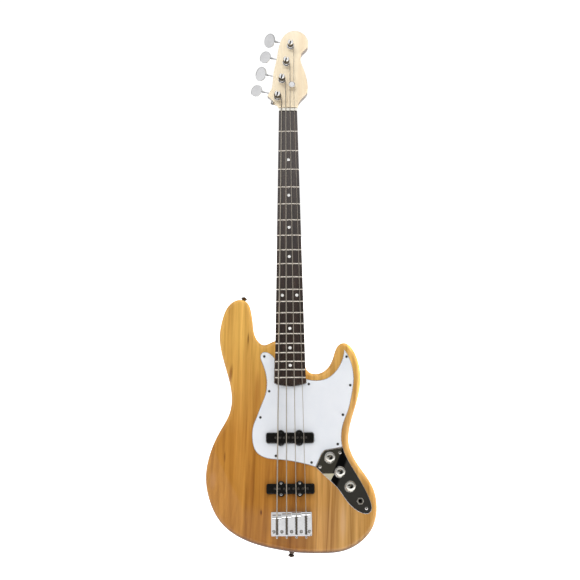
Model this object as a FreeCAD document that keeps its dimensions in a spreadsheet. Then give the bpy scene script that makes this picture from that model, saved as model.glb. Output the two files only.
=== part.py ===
import FreeCAD, Part
import math
import os

import Sketcher

V = FreeCAD.Vector
doc = FreeCAD.newDocument("electric_bass")
dims = doc.addObject("Spreadsheet::Sheet", "dims")

# Driving sizes in millimetres and degrees.
SIZES = {
    # layout along the centre line, measured from the tail strap button
    "scale_length": 863.6,
    "saddle_line": 70,
    "body_width": 340,
    "body_length": 513.5,
    "body_thick": 44.5,
    "edge_round": 9,
    "forearm_drop": 11,
    "forearm_radius": 110,
    "belly_depth": 14,
    "belly_radius": 160,
    # neck and fingerboard
    "fret_count": 20,
    "board_overhang": 16,
    "board_end_bow": 6,
    "board_thick": 6,
    "board_behind": 3.4,
    "board_rise": 9.5,
    "board_radius": 241,
    "nut_width": 40,
    "heel_width": 63.5,
    "pocket_depth": 16,
    "pocket_fit": 0.2,
    "neck_depth": 21,
    "neck_swell": 1.8,
    "heel_length": 95,
    "heel_step": 0.3,
    "fret_width": 2.6,
    "fret_height": 1.1,
    "tang_width": 0.6,
    "tang_depth": 1.8,
    "dot_radius": 3.2,
    "dot_depth": 2,
    "dot_pair_spacing": 30,
    "nut_thick": 5,
    "nut_rise": 3.1,
    "nut_slot_rise": 1.9,
    "nut_slot_fit": 0.06,
    "rod_radius": 3,
    "rod_depth": 6,
    # headstock
    "head_drop": 12.5,
    "head_thick": 14.5,
    "scoop_length": 19,
    "head_ramp": 34.5,
    "post_first_x": -22.7,
    "post_first_up": 39.5,
    "post_pitch": 43,
    "post_row_angle": 13.3,
    "tree_x": 9.2,
    "tree_up": 66,
    "tree_radius": 7,
    "tree_gap": 7.5,
    "tree_stem": 2.6,
    # strings
    "gauge_e": 2.67,
    "gauge_a": 2.16,
    "gauge_d": 1.65,
    "gauge_g": 1.14,
    "nut_spacing": 9.4,
    "bridge_spacing": 19,
    "ball_radius": 2.4,
    "wind_clear": 0.3,
    "wind_gap": 0.45,
    # bridge
    "bridge_width": 80,
    "bridge_back": 30,
    "bridge_depth": 46,
    "bridge_sheet": 2.5,
    "bridge_wall": 17.7,
    "saddle_radius": 5,
    "saddle_length": 17.6,
    "saddle_axis": 8.8,
    "saddle_groove": 0.35,
    "saddle_first": -4,
    "saddle_step": 2,
    "saddle_forward": 2,
    "grub_radius": 1.5,
    "grub_offset": 6,
    "grub_rise": 3.4,
    "intonation_radius": 1.5,
    "intonation_head": 2.3,
    "run_fit": 0.1,
    "ball_hole_radius": 1.9,
    "ball_hole_up": 13.9,
    "spring_radius": 2.15,
    "spring_wire": 0.35,
    "spring_turns": 8,
    # pickups
    "neck_pickup_y": 220.5,
    "bridge_pickup_y": 120.5,
    "pickup_x": -1.5,
    "pickup_length": 94,
    "pickup_width": 19,
    "pickup_ear_x": 18.4,
    "pickup_ear_width": 13.5,
    "pickup_ear_reach": 29.5,
    "pickup_top": 8.5,
    "pickup_skirt": 7,
    "pickup_wall": 1.3,
    "pickup_round": 1.5,
    "pickup_corner": 3,
    "pickup_rout_depth": 20,
    "pickup_rout_gap": 0.8,
    "pole_radius": 2.4,
    "pole_spread": 4.6,
    "pole_proud": 0.5,
    "pickup_crown": 1.6,
    "coil_rise": 1.5,
    "coil_end_gap": 7,
    "coil_side_gap": 4,
    # plates
    "guard_thick": 2.4,
    "guard_gap": 0.6,
    "plate_thick": 1.5,
    "neck_plate_width": 51,
    "neck_plate_length": 63.5,
    "neck_plate_thick": 2,
    "neck_plate_x": -2,
    "neck_plate_y": 369,
    # controls
    "first_knob_x": 77.3,
    "first_knob_y": 180.6,
    "knob_step_x": 19.6,
    "knob_step_y": -28.3,
    "knob_radius": 10.5,
    "knob_taper": 0.8,
    "knob_lift": 4.4,
    "knob_height": 14.5,
    "knob_dome": 5,
    "shaft_radius": 3,
    "bushing_radius": 3.8,
    "pot_radius": 8,
    "pot_depth": 9,
    "hex_radius": 6,
    "hex_thick": 2,
    "cavity_radius": 14.5,
    "cavity_depth": 36,
    "jack_bore": 3.3,
    "jack_radius": 4.7,
    "jack_wafer": 7.7,
    "wire_level": -9,
    "jack_wire_level": -4.5,
    "wire_radius": 0.9,
    # tuners
    "gear_teeth": 20,
    "gear_module": 1,
    "gear_thick": 4.5,
    "gear_lift": 6.9,
    "gear_backlash": 0.32,
    "tuner_sheet": 1.4,
    "tuner_plate_wide": 27,
    "tuner_plate_long": 40,
    "tuner_plate_below": 14,
    "tuner_pin_inset": 3.6,
    "lug_thick": 2,
    "lug_wide": 8,
    "lug_apart": 17.6,
    "worm_pitch_radius": 4,
    "worm_turns": 3.5,
    "key_shaft": 2.4,
    "key_reach": 52,
    "key_wide": 24,
    "key_tall": 34,
    "key_thick": 4,
    "post_waist": 5,
    "post_rise": 20.5,
    "post_journal": 4.4,
    "post_spigot": 3.4,
    "post_shoulder": 5,
    "post_slot": 2.9,
    "ferrule_flange": 8.5,
    "ferrule_barrel": 6.9,
    "ferrule_rise": 2,
    # strap buttons
    "button_radius": 6.5,
    "button_neck": 4,
    "button_height": 8.5,
    # screws: radius of the head, radius of the shank, length
    "small_screw_head": 2.6,
    "small_screw_shank": 1.3,
    "small_screw_length": 11,
    "plate_screw_head": 3,
    "plate_screw_shank": 1.5,
    "plate_screw_length": 13,
    "pickup_screw_head": 2.6,
    "pickup_screw_shank": 1.2,
    "pickup_screw_length": 34,
    "bridge_screw_head": 3.4,
    "bridge_screw_shank": 1.9,
    "bridge_screw_length": 26,
    "neck_screw_head": 4.2,
    "neck_screw_shank": 2.2,
    "neck_screw_length": 44,
    "strap_screw_head": 3.6,
    "strap_screw_shank": 2,
    "strap_screw_length": 34,
}
for row, (name, value) in enumerate(SIZES.items(), start=1):
    dims.set("A%d" % row, name)
    dims.set("B%d" % row, str(value))
    dims.setAlias("B%d" % row, name)
doc.recompute()

cells = {}


def cell(formula):
    """Address of a sheet cell that works out a formula of the named sizes."""
    if formula not in cells:
        cells[formula] = "D%d" % (len(cells) + 1)
        dims.set(cells[formula], "=" + formula)
        dims.recompute()
    return cells[formula]


def num(formula):
    """Value of a formula of the named sizes."""
    return float(dims.get(cell(formula)))


def bind(thing, prop, formula):
    """Drives a property from a formula of the named sizes."""
    thing.setExpression(prop, "dims." + cell(formula))


# Each piece is drawn lying on its back: x right, y towards the headstock, z out of the body front.
UPRIGHT = FreeCAD.Rotation(V(1, 0, 0), 90)
FLAT = FreeCAD.Placement(V(0, -num("body_thick / 2"), 0), UPRIGHT)
nodes = []


def node(thing, label):
    """Names a finished piece and keeps it for writing out."""
    thing.Label = label
    nodes.append(thing)
    return thing


def stand(thing, label):
    """Names a piece drawn flat and stands it upright."""
    thing.Placement = FLAT
    bind(thing, "Placement.Base.y", "-body_thick / 2")
    return node(thing, label)


def solid(name, shape):
    """A document object that holds a shape made with the kernel's own functions."""
    thing = doc.addObject("Part::Feature", name)
    thing.Shape = shape
    return thing


def block(name, corner, span):
    """A box from formulas for its corner and its span."""
    thing = doc.addObject("Part::Box", name)
    for prop, formula in zip(("Length", "Width", "Height"), span):
        bind(thing, prop, formula)
    for axis, formula in zip("xyz", corner):
        bind(thing, "Placement.Base." + axis, formula)
    return thing


AXES = {"x": (V(0, 1, 0), 90), "y": (V(1, 0, 0), -90), "z": (V(0, 0, 1), 0)}


def rod(name, start, radius, length, axis="z"):
    """A cylinder from formulas for its start, radius and length."""
    thing = doc.addObject("Part::Cylinder", name)
    thing.Placement.Rotation = FreeCAD.Rotation(*AXES[axis])
    bind(thing, "Radius", radius)
    bind(thing, "Height", length)
    for letter, formula in zip("xyz", start):
        bind(thing, "Placement.Base." + letter, formula)
    return thing


def join(name, things):
    """All the given pieces as one."""
    thing = doc.addObject("Part::MultiFuse", name)
    thing.Shapes = things
    return thing


def cut(name, base, tools):
    """A piece with other pieces taken out of it."""
    thing = doc.addObject("Part::Cut", name)
    thing.Base = base
    thing.Tool = tools[0] if len(tools) == 1 else join(name + "_tools", tools)
    return thing


def group(name, things):
    """Several loose solids kept as one piece."""
    thing = doc.addObject("Part::Compound", name)
    thing.Links = things
    return thing


def origin_plane(body, role):
    """One of a body's own origin planes."""
    return [plane for plane in body.Origin.OriginFeatures if plane.Role == role][0]


def polygon(body, role, corners):
    """A closed sketch of straight lines, each corner driven by two formulas."""
    sketch = body.newObject("Sketcher::SketchObject", body.Name + "_profile")
    sketch.AttachmentSupport = (origin_plane(body, role), [""])
    sketch.MapMode = "FlatFace"
    points = [V(num(across), num(up), 0) for across, up in corners]
    count = len(points)
    for i in range(count):
        sketch.addGeometry(Part.LineSegment(points[i], points[(i + 1) % count]))
    for i in range(count):
        sketch.addConstraint(Sketcher.Constraint("Coincident", i, 2, (i + 1) % count, 1))
    for i, (across, up) in enumerate(corners):
        for kind, axis, formula in (("DistanceX", -2, across), ("DistanceY", -1, up)):
            if formula == "0":
                sketch.addConstraint(Sketcher.Constraint("PointOnObject", i, 1, axis))
            else:
                spot = sketch.addConstraint(Sketcher.Constraint(kind, -1, 1, i, 1, num(formula)))
                bind(sketch, "Constraints[%d]" % spot, formula)
    return sketch


def turned(name, profile):
    """A body of revolution about z, from formulas for radius and height."""
    body = doc.addObject("PartDesign::Body", name)
    spin = body.newObject("PartDesign::Revolution", name + "_spin")
    spin.Profile = polygon(body, "XZ_Plane", profile)
    spin.ReferenceAxis = (spin.Profile[0], ["V_Axis"])
    spin.Angle = 360
    body.Tip = spin
    return body


def rounded(body, radius, wanted):
    """Rounds those edges of a body's last feature that a test picks."""
    doc.recompute()
    last = body.Tip
    names = ["Edge%d" % (i + 1) for i, edge in enumerate(last.Shape.Edges) if wanted(edge)]
    thing = body.newObject("PartDesign::Fillet", last.Name + "_round")
    thing.Base = (last, names)
    bind(thing, "Radius", radius)
    body.Tip = thing
    return body


def placed(shape, x, y, z=0, turn=None):
    """A copy of a shape at a spot, turned first if a rotation is given."""
    move = FreeCAD.Placement(V(x, y, z), turn or FreeCAD.Rotation())
    copy = shape.copy()
    copy.Placement = move.multiply(copy.Placement)
    return copy


def smooth(points):
    """An open curve through points."""
    curve = Part.BSplineCurve()
    curve.interpolate([V(*point) for point in points])
    return curve.toShape()


def straight(start, end):
    """A straight edge between two points."""
    return Part.LineSegment(V(*start), V(*end)).toShape()


def sheet_of(edges):
    """A flat face inside edges that run end to end."""
    return Part.Face(Part.Wire(Part.__sortEdges__(edges)))


# Derived places that several pieces share.
nut_y = num("saddle_line + scale_length")
last_fret = num("saddle_line + scale_length * 2 ^ (-fret_count / 12)")
heel_end = last_fret - num("board_overhang")
board_under = num("board_rise - board_thick")
head_face = num("board_rise - head_drop")
head_back = num("board_rise - head_drop - head_thick")
STRINGS = ("e", "a", "d", "g")
KNOBS = ("neck_volume", "bridge_volume", "tone")


def on_body(points):
    """Outline points drawn for a 340 by 513.5 body, stretched to the body's own size."""
    wide = num("body_width / 340")
    long = num("body_length / 513.5")
    return [(x * wide, y * long, 0) for x, y in points]


def half_width(y):
    """Half the neck's width at a place along it."""
    share = (nut_y - y) / (nut_y - heel_end)
    return num("nut_width / 2") + share * num("(heel_width - nut_width) / 2")


def neck_plan(top, gap):
    """The neck's tapered plan with its bowed end, grown by a gap."""
    low = heel_end + num("board_end_bow")
    wide_low = half_width(low) + gap
    wide_top = half_width(top) + gap
    end = Part.Arc(V(-wide_low, low - gap, 0), V(0, heel_end - gap, 0), V(wide_low, low - gap, 0))
    return sheet_of([
        end.toShape(),
        straight((wide_low, low - gap, 0), (wide_top, top, 0)),
        straight((wide_top, top, 0), (-wide_top, top, 0)),
        straight((-wide_top, top, 0), (-wide_low, low - gap, 0)),
    ])


def raised(name, face, start, height):
    """A flat face pulled out of the drawing plane between two formulas."""
    drawn = solid(name + "_outline", face)
    bind(drawn, "Placement.Base.z", start)
    thing = doc.addObject("Part::Extrusion", name)
    thing.Base = drawn
    thing.DirMode = "Custom"
    thing.Dir = V(0, 0, 1)
    thing.Solid = True
    bind(thing, "LengthFwd", height)
    return thing


def screw(name):
    """A cross-head wood screw whose head sits on z = 0 and whose point is down."""
    head = name + "_head"
    shank = name + "_shank"
    length = name + "_length"
    dome = head + " / 2"
    body = turned(name, [
        ("0", "-%s" % length),
        (shank, "-%s + 2 * %s" % (length, shank)),
        (shank, "0"),
        (head, "0"),
        (head, "%s * 0.4" % dome),
        ("%s * 0.6" % head, dome),
        ("0", dome),
    ])
    slot = body.newObject("PartDesign::Pocket", name + "_slot")
    slot.Profile = polygon(body, "XY_Plane", cross(head))
    slot.Type = "Length"
    slot.Reversed = True
    bind(slot, "Length", dome)
    bind(slot.Profile[0], "AttachmentOffset.Base.z", "%s * 0.3" % dome)
    body.Tip = slot
    return body


def cross(head):
    """Corners of the cross recess in a screw head."""
    long = "%s * 0.55" % head
    thin = "%s * 0.14" % head
    steps = (long, thin), (thin, thin), (thin, long)
    corners = []
    for right, up in ((1, 1), (-1, 1), (-1, -1), (1, -1)):
        arm = steps if right == up else steps[::-1]
        for across, high in arm:
            corners.append((("" if right > 0 else "-") + across, ("" if up > 0 else "-") + high))
    return corners


# Fasteners, drawn once and copied to their places.
small_screw = screw("small_screw")
plate_screw = screw("plate_screw")
pickup_screw = screw("pickup_screw")
bridge_screw = screw("bridge_screw")
neck_screw = screw("neck_screw")
strap_screw = screw("strap_screw")
doc.recompute()


def spread(name, proto, places, turn=None):
    """Copies of one fastener at several places, as one piece."""
    shapes = [placed(proto.Shape, x, y, z, turn) for x, y, z in places]
    return solid(name, Part.Compound(shapes))


# Body: outline, block, arm contour, rounded edges, belly cut.
BODY_OUTLINE = [
    (0, 0), (-24, 4), (-98, 26), (-140, 57), (-164, 102), (-171, 150), (-165, 184),
    (-142, 238), (-125, 270), (-120, 303), (-125, 337), (-137, 379), (-146, 430),
    (-140, 470), (-127, 498), (-105, 510), (-89, 504), (-81, 486), (-77, 457), (-71, 429),
    (-54, 413), (-35, 420), (-5, 420), (20, 410), (27.5, 391), (29.5, 372), (38, 356),
    (56, 352), (77, 364), (89, 387), (95.5, 405), (103, 413.5), (114, 415.5), (124, 409), (137, 386),
    (144, 350), (140, 312), (127.5, 270), (117.5, 232), (116.5, 211), (123, 187),
    (146, 150), (164, 118), (169, 88), (161, 48), (136, 18), (101, 1), (50, -3),
]
outline = Part.BSplineCurve()
outline.interpolate([V(*point) for point in on_body(BODY_OUTLINE)], PeriodicFlag=True)
OUTLINE_SPANS = 8
span = outline.LastParameter / OUTLINE_SPANS
spans = [outline.toShape(i * span, (i + 1) * span) for i in range(OUTLINE_SPANS)]
body_block = raised("body_block", Part.Face(Part.Wire(spans)), "-body_thick", "body_thick")


def arm_contour():
    """The wedge with a curved floor that comes off the bass side of the lower bout."""
    (ax, ay, _), (bx, by, _) = on_body([(-148, 212), (-66, 6)])
    along = V(bx - ax, by - ay, 0).normalize()
    out = V(along.y, -along.x, 0)
    radius = num("forearm_radius")
    reach = math.sqrt(2 * radius * num("forearm_drop") * 1.6)
    start = V(ax, ay, 0) - along * 150

    def spot(distance, height):
        return start + out * distance + V(0, 0, height)

    sag = radius - math.sqrt(radius ** 2 - reach ** 2)
    half = radius - math.sqrt(radius ** 2 - reach ** 2 / 4)
    floor = Part.Arc(spot(0, 0), spot(reach / 2, -half), spot(reach, -sag)).toShape()
    rim = [spot(reach, -sag), spot(reach + 90, -sag - 60), spot(reach + 90, 8), spot(0, 8), spot(0, 0)]
    edges = [floor] + [straight(a, b) for a, b in zip(rim, rim[1:])]
    return Part.Face(Part.Wire(edges)).extrude(along * 560)


body_arm = cut("body_arm", body_block, [solid("arm_contour", arm_contour())])
doc.recompute()


def is_rim(shape, edge):
    """True for an edge between the body's side wall and its front or back."""
    faces = shape.ancestorsOfType(edge, Part.Face)
    upright = [abs(face.normalAt(*middle_of(face)).z) < 0.02 for face in faces]
    return upright.count(True) == 1


def middle_of(face):
    """Middle of a face's own range."""
    low_u, high_u, low_v, high_v = face.ParameterRange
    return (low_u + high_u) / 2, (low_v + high_v) / 2


body_round = doc.addObject("Part::Fillet", "body_round")
body_round.Base = body_arm
rims = [i + 1 for i, edge in enumerate(body_arm.Shape.Edges) if is_rim(body_arm.Shape, edge)]
body_round.Edges = [(i, num("edge_round"), num("edge_round")) for i in rims]
doc.recompute()


def knob_place(step):
    """Formulas for a place on the control row, counted from the first knob."""
    return "first_knob_x + %d * knob_step_x" % step, "first_knob_y + %d * knob_step_y" % step


def string_x(index, y):
    """Sideways place of a string at a height along the neck."""
    spacing = num("bridge_spacing") + (y - num("saddle_line")) / num("scale_length") * (
        num("nut_spacing") - num("bridge_spacing"))
    return (index - 1.5) * spacing


def pickup_form(name, centre, gap, low, height):
    """A pickup's plan, a bar with two pairs of round ears, grown by a gap and pulled up."""
    wide = "pickup_length + 2 * (%s)" % gap
    deep = "pickup_width + 2 * (%s)" % gap
    bar = block(name + "_bar", ("pickup_x - (%s) / 2" % wide, "%s - (%s) / 2" % (centre, deep), low),
                (wide, deep, height))
    doc.recompute()
    corner = num("pickup_corner + (%s)" % gap)
    ends = doc.addObject("Part::Fillet", name + "_ends")
    ends.Base = bar
    ends.Edges = [(i + 1, corner, corner) for i, edge in enumerate(bar.Shape.Edges)
                  if edge.BoundBox.XLength + edge.BoundBox.YLength < 0.1]
    parts = [ends]
    lobe = "pickup_ear_width / 2 + (%s)" % gap
    reach = "(pickup_ear_reach - pickup_ear_width) / 2"
    for i, side in enumerate("-+"):
        x = "pickup_x %s pickup_ear_x" % side
        web = block("%s_web%d" % (name, i), (x + " - (%s)" % lobe, "%s - %s" % (centre, reach), low),
                    ("2 * (%s)" % lobe, "2 * " + reach, height))
        parts.append(web)
        for k, way in enumerate("-+"):
            parts.append(rod("%s_ear%d%d" % (name, i, k), (x, "%s %s %s" % (centre, way, reach), low),
                             lobe, height))
    form = join(name, parts)
    form.Refine = True
    return form


def pole_places(centre):
    """Places of the eight magnet poles, two beside each string."""
    y = num(centre)
    return [(string_x(i, y) + side * num("pole_spread"), y) for i in range(4) for side in (-1, 1)]


PICKUPS = (("neck", "neck_pickup_y"), ("bridge", "bridge_pickup_y"))
poles = []
for _, centre in PICKUPS:
    for x, y in pole_places(centre):
        pole_height = num("pickup_top + pole_proud + pickup_skirt - coil_rise")
        pole_foot = V(x, y, num("coil_rise - pickup_skirt"))
        poles.append(Part.makeCylinder(num("pole_radius"), pole_height, pole_foot))
pickup_poles = solid("pickup_poles", Part.Compound(poles))
stand(pickup_poles, "pickup_poles")
pole_cutter = solid("pole_cutter", Part.Compound(poles))

ear_places = []
for _, centre in PICKUPS:
    for side in "-+":
        for way in "-+":
            ear_x = num("pickup_x %s pickup_ear_x" % side)
            ear_y = num("%s %s (pickup_ear_reach / 2 - 3.7)" % (centre, way))
            ear_places.append((ear_x, ear_y, num("pickup_top")))
pickup_screws = spread("pickup_screws", pickup_screw, ear_places)
stand(pickup_screws, "pickup_screws")
ear_cutter = spread("ear_cutter", pickup_screw, ear_places)

coils = []
foams = []
routs = []
for name, centre in PICKUPS:
    outer = pickup_form(name + "_cover_form", centre, "0", "-pickup_skirt", "pickup_top + pickup_skirt")
    doc.recompute()
    eased = doc.addObject("Part::Fillet", name + "_cover_eased")
    eased.Base = outer
    top = num("pickup_top")
    rim = [i + 1 for i, edge in enumerate(outer.Shape.Edges) if edge.BoundBox.ZMin > top - 0.01]
    eased.Edges = [(i, num("pickup_round"), num("pickup_round")) for i in rim]
    hollow = block(name + "_cover_hollow",
                   ("pickup_x - pickup_length / 2 + pickup_wall",
                    centre + " - pickup_width / 2 + pickup_wall",
                    "-pickup_skirt"),
                   ("pickup_length - 2 * pickup_wall",
                    "pickup_width - 2 * pickup_wall",
                    "pickup_top + pickup_skirt - pickup_crown"))
    cover = cut(name + "_pickup_cover", eased, [hollow, pole_cutter, ear_cutter])
    stand(cover, name + "_pickup_cover")
    bobbin = block(name + "_bobbin",
                   ("pickup_x - pickup_length / 2 + coil_end_gap",
                    centre + " - pickup_width / 2 + coil_side_gap",
                    "coil_rise - pickup_skirt"),
                   ("pickup_length - 2 * coil_end_gap",
                    "pickup_width - 2 * coil_side_gap",
                    "pickup_top + pickup_skirt - coil_rise - pickup_crown"))
    coils.append(cut(name + "_coil", bobbin, [pole_cutter]))
    foams.append(block(name + "_foam",
                       ("pickup_x - pickup_length / 2 + 2 * coil_end_gap",
                        centre + " - pickup_width / 2 + coil_side_gap",
                        "-pickup_rout_depth"),
                       ("pickup_length - 4 * coil_end_gap",
                        "pickup_width - 2 * coil_side_gap",
                        "pickup_rout_depth - pickup_skirt + coil_rise")))
    routs.append(pickup_form(name + "_rout", centre, "pickup_rout_gap", "-pickup_rout_depth",
                             "pickup_rout_depth + 1"))
stand(group("pickup_coils", coils), "pickup_coils")
stand(group("pickup_foams", foams), "pickup_foams")

# Pickguard and control plate share one seam.
SEAM = [(49, 162.6), (61.6, 189.2), (67.5, 195.4), (103.3, 201.6)]
GUARD_LEFT = [
    (-26, 374), (-35, 387), (-45, 394.5), (-55, 396), (-60.5, 390), (-58, 375), (-50, 350), (-48, 329),
    (-51.5, 307), (-60, 285.5), (-69, 262), (-75, 247), (-77.7, 227), (-76, 209), (-71, 195.5),
    (-60, 185.5), (-42, 179.5), (-16, 177), (12, 172.5), (49, 162.6),
]
GUARD_RIGHT = [(103.3, 201.6), (101.8, 228), (105.4, 246.5), (116.4, 275), (125.5, 312), (129, 335),
               (128, 359), (121.7, 382), (111.2, 401)]
GUARD_INNER = [(111.2, 401), (106.9, 379.5), (94, 356.5), (75, 341), (54, 336.5), (33, 339.5), (18, 347)]
PLATE_EDGE = [(49, 162.6), (76, 136.5), (90, 122.7), (111.5, 93), (125.4, 79.7), (139.2, 72.7),
              (149.5, 71.7), (156.5, 77.5), (156.7, 91), (150.3, 109), (135, 138.6), (121.5, 161.2),
              (111.8, 179), (103.3, 201.6)]


def runs(points):
    """Straight edges through points."""
    return [straight(a, b) for a, b in zip(points, points[1:])]


seam = on_body(SEAM)
left = on_body(GUARD_LEFT)
inner = on_body(GUARD_INNER)
guard_face = sheet_of(runs(seam) + [smooth(left), smooth(on_body(GUARD_RIGHT)), smooth(inner),
                                    straight(inner[-1], left[0])])
slide = V(0.85, -0.53, 0) * num("guard_gap")
plate_face = sheet_of(runs(seam) + [smooth(on_body(PLATE_EDGE))])
plate_face.translate(slide)
guard_sheet = raised("guard_sheet", guard_face, "0", "guard_thick")
neck_notch = raised("neck_notch", neck_plan(heel_end + 140, num("guard_gap")), "-1", "guard_thick + 2")
pickup_hole = pickup_form("pickup_hole", "neck_pickup_y", "guard_gap", "-1", "guard_thick + 2")
GUARD_SCREWS = [(-53, 387), (-43, 315), (-61, 262), (37.5, 329), (115.8, 385), (122, 326), (105.5, 266),
                (93.8, 207.5), (41, 171.5), (-30, 185)]
PLATE_SCREWS = [(97.8, 190.5), (57.8, 163), (147.6, 81.5)]
guard_places = [(x, y, num("guard_thick")) for x, y, _ in on_body(GUARD_SCREWS)]
plate_places = [(x, y, num("plate_thick")) for x, y, _ in on_body(PLATE_SCREWS)]
pickguard_screws = spread("pickguard_screws", small_screw, guard_places)
control_screws = spread("control_plate_screws", plate_screw, plate_places)
guard_cutter = spread("guard_cutter", small_screw, guard_places)
plate_cutter = spread("plate_cutter", plate_screw, plate_places)
stand(pickguard_screws, "pickguard_screws")
stand(control_screws, "control_plate_screws")
pickguard = cut("pickguard", guard_sheet, [neck_notch, pickup_hole, guard_cutter])
stand(pickguard, "pickguard")

# Controls: plate, pots, shafts, knobs, nuts and jack.
plate_sheet = raised("plate_sheet", plate_face, "0", "plate_thick")
plate_holes = [plate_cutter]
pots = []
nuts = []
for step, name in enumerate(KNOBS):
    x, y = knob_place(step)
    plate_holes.append(rod("pot_hole%d" % step, (x, y, "-1"), "bushing_radius + run_fit",
                           "plate_thick + 2"))
    housing = join("pot_shell%d" % step, [
        rod("pot_can%d" % step, (x, y, "-pot_depth - 0.6"), "pot_radius", "pot_depth"),
        rod("pot_collar%d" % step, (x, y, "-0.6"), "pot_radius * 0.7", "0.6"),
        rod("pot_bushing%d" % step, (x, y, "0"), "bushing_radius", "plate_thick + hex_thick + 0.4"),
        block("pot_tags%d" % step, (x + " - 6", y + " - pot_radius - 3", "-3.5"), ("12", "4", "1")),
    ])
    bore = rod("pot_bore%d" % step, (x, y, "1 - pot_depth"), "shaft_radius + run_fit", "pot_depth + 8")
    pots.append(cut("pot%d" % step, housing, [bore]))
    hexagon = doc.addObject("Part::Prism", "hex%d" % step)
    hexagon.Polygon = 6
    bind(hexagon, "Circumradius", "hex_radius")
    bind(hexagon, "Height", "hex_thick")
    bind(hexagon, "Placement.Base.x", x)
    bind(hexagon, "Placement.Base.y", y)
    bind(hexagon, "Placement.Base.z", "plate_thick")
    nut_bore = rod("nut_bore%d" % step, (x, y, "0"), "bushing_radius", "9")
    nuts.append(cut("pot_nut%d" % step, hexagon, [nut_bore]))
    shaft = rod("shaft_" + name, (x, y, "1.2 - pot_depth"), "shaft_radius",
                "pot_depth + knob_lift + knob_height - 6")
    stand(group("pot_shaft_" + name, [shaft]), "pot_shaft_" + name)
    knob = turned("knob_" + name, [
        ("0", "knob_lift + knob_height"),
        ("knob_radius - knob_taper", "knob_lift + knob_height"),
        ("knob_radius", "knob_lift"),
        ("shaft_radius", "knob_lift"),
        ("shaft_radius", "knob_lift + knob_height - 4.8"),
        ("0", "knob_lift + knob_height - 4.8"),
    ])
    high = num("knob_lift + knob_height")
    rounded(knob, "knob_dome", lambda edge: edge.BoundBox.ZMin > high - 0.01)
    knob.Placement.Rotation = UPRIGHT
    bind(knob, "Placement.Base.x", x)
    bind(knob, "Placement.Base.y", "-body_thick / 2")
    bind(knob, "Placement.Base.z", y)
    node(knob, "knob_" + name)
jack_x, jack_y = knob_place(3)
plate_holes.append(rod("jack_hole", (jack_x, jack_y, "-1"), "jack_radius + run_fit", "plate_thick + 2"))
stand(cut("control_plate", plate_sheet, plate_holes), "control_plate")
jack_hex = doc.addObject("Part::Prism", "jack_hex")
jack_hex.Polygon = 6
bind(jack_hex, "Circumradius", "hex_radius + 1")
bind(jack_hex, "Height", "hex_thick")
bind(jack_hex, "Placement.Base.x", jack_x)
bind(jack_hex, "Placement.Base.y", jack_y)
bind(jack_hex, "Placement.Base.z", "plate_thick")
nuts.append(cut("jack_nut", jack_hex, [rod("jack_nut_bore", (jack_x, jack_y, "0"), "jack_radius", "9")]))
stand(group("control_nuts", nuts), "control_nuts")
stand(group("potentiometers", pots), "potentiometers")
sleeve = join("jack_sleeve", [
    rod("jack_bush", (jack_x, jack_y, "-7"), "jack_radius", "7 + plate_thick + hex_thick + 0.4"),
    rod("jack_flange", (jack_x, jack_y, "-2"), "jack_wafer", "2"),
])
barrel = cut("jack_barrel", sleeve, [rod("jack_bore_hole", (jack_x, jack_y, "-8"), "jack_bore", "16")])
wafer = cut("jack_wafer", rod("jack_disc", (jack_x, jack_y, "-5"), "jack_wafer", "3"),
            [rod("jack_disc_bore", (jack_x, jack_y, "-6"), "jack_radius", "6")])
leaf = block("jack_leaf", (jack_x + " + jack_radius + 0.6", jack_y + " - 2.5", "-29"),
             ("0.8", "5", "24"))
tip = block("jack_tip", (jack_x + " + 1.6", jack_y + " - 2.5", "-29"), ("jack_radius - 1", "5", "0.8"))
contact = join("jack_contact", [leaf, tip])
stand(group("output_jack", [barrel, wafer, contact]), "output_jack")

# Leads and tone capacitor along the control row and out to the pickups.
row_step = V(num("knob_step_x"), num("knob_step_y"), 0)
row_way = V(row_step).normalize()
knob_spots = [V(num(knob_place(k)[0]), num(knob_place(k)[1]), num("wire_level")) for k in range(4)]
pot_edge = row_way * num("pot_radius")
wire_radius = num("wire_radius")
between_pots = row_step.Length - num("2 * pot_radius")
to_jack = row_step.Length - num("pot_radius + jack_wafer")
jack_wire_start = knob_spots[2] + pot_edge + V(0, 0, num("jack_wire_level - wire_level"))
cap_start = knob_spots[1] + pot_edge
cap_can = Part.makeCylinder(3 * wire_radius, between_pots * 0.6, cap_start + row_way * (between_pots * 0.2),
                            row_way)
cap_lead = Part.makeCylinder(wire_radius / 2, between_pots, cap_start, row_way)
wiring = [
    Part.makeCylinder(wire_radius, between_pots, knob_spots[0] + pot_edge, row_way),
    Part.makeCylinder(wire_radius, to_jack, jack_wire_start, row_way),
    cap_lead.fuse(cap_can),
]
channels = []
for k, (_, centre) in enumerate(PICKUPS):
    begin = V(num("pickup_x + pickup_length / 2 - 10"), num(centre), num("wire_level"))
    way = knob_spots[k] - begin
    length = way.Length
    wiring.append(Part.makeCylinder(wire_radius, length - num("pot_radius"), begin, way))
    channels.append(Part.makeCylinder(4 * wire_radius, length, begin, way))
stand(solid("control_wiring", Part.Compound(wiring)), "control_wiring")

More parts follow.
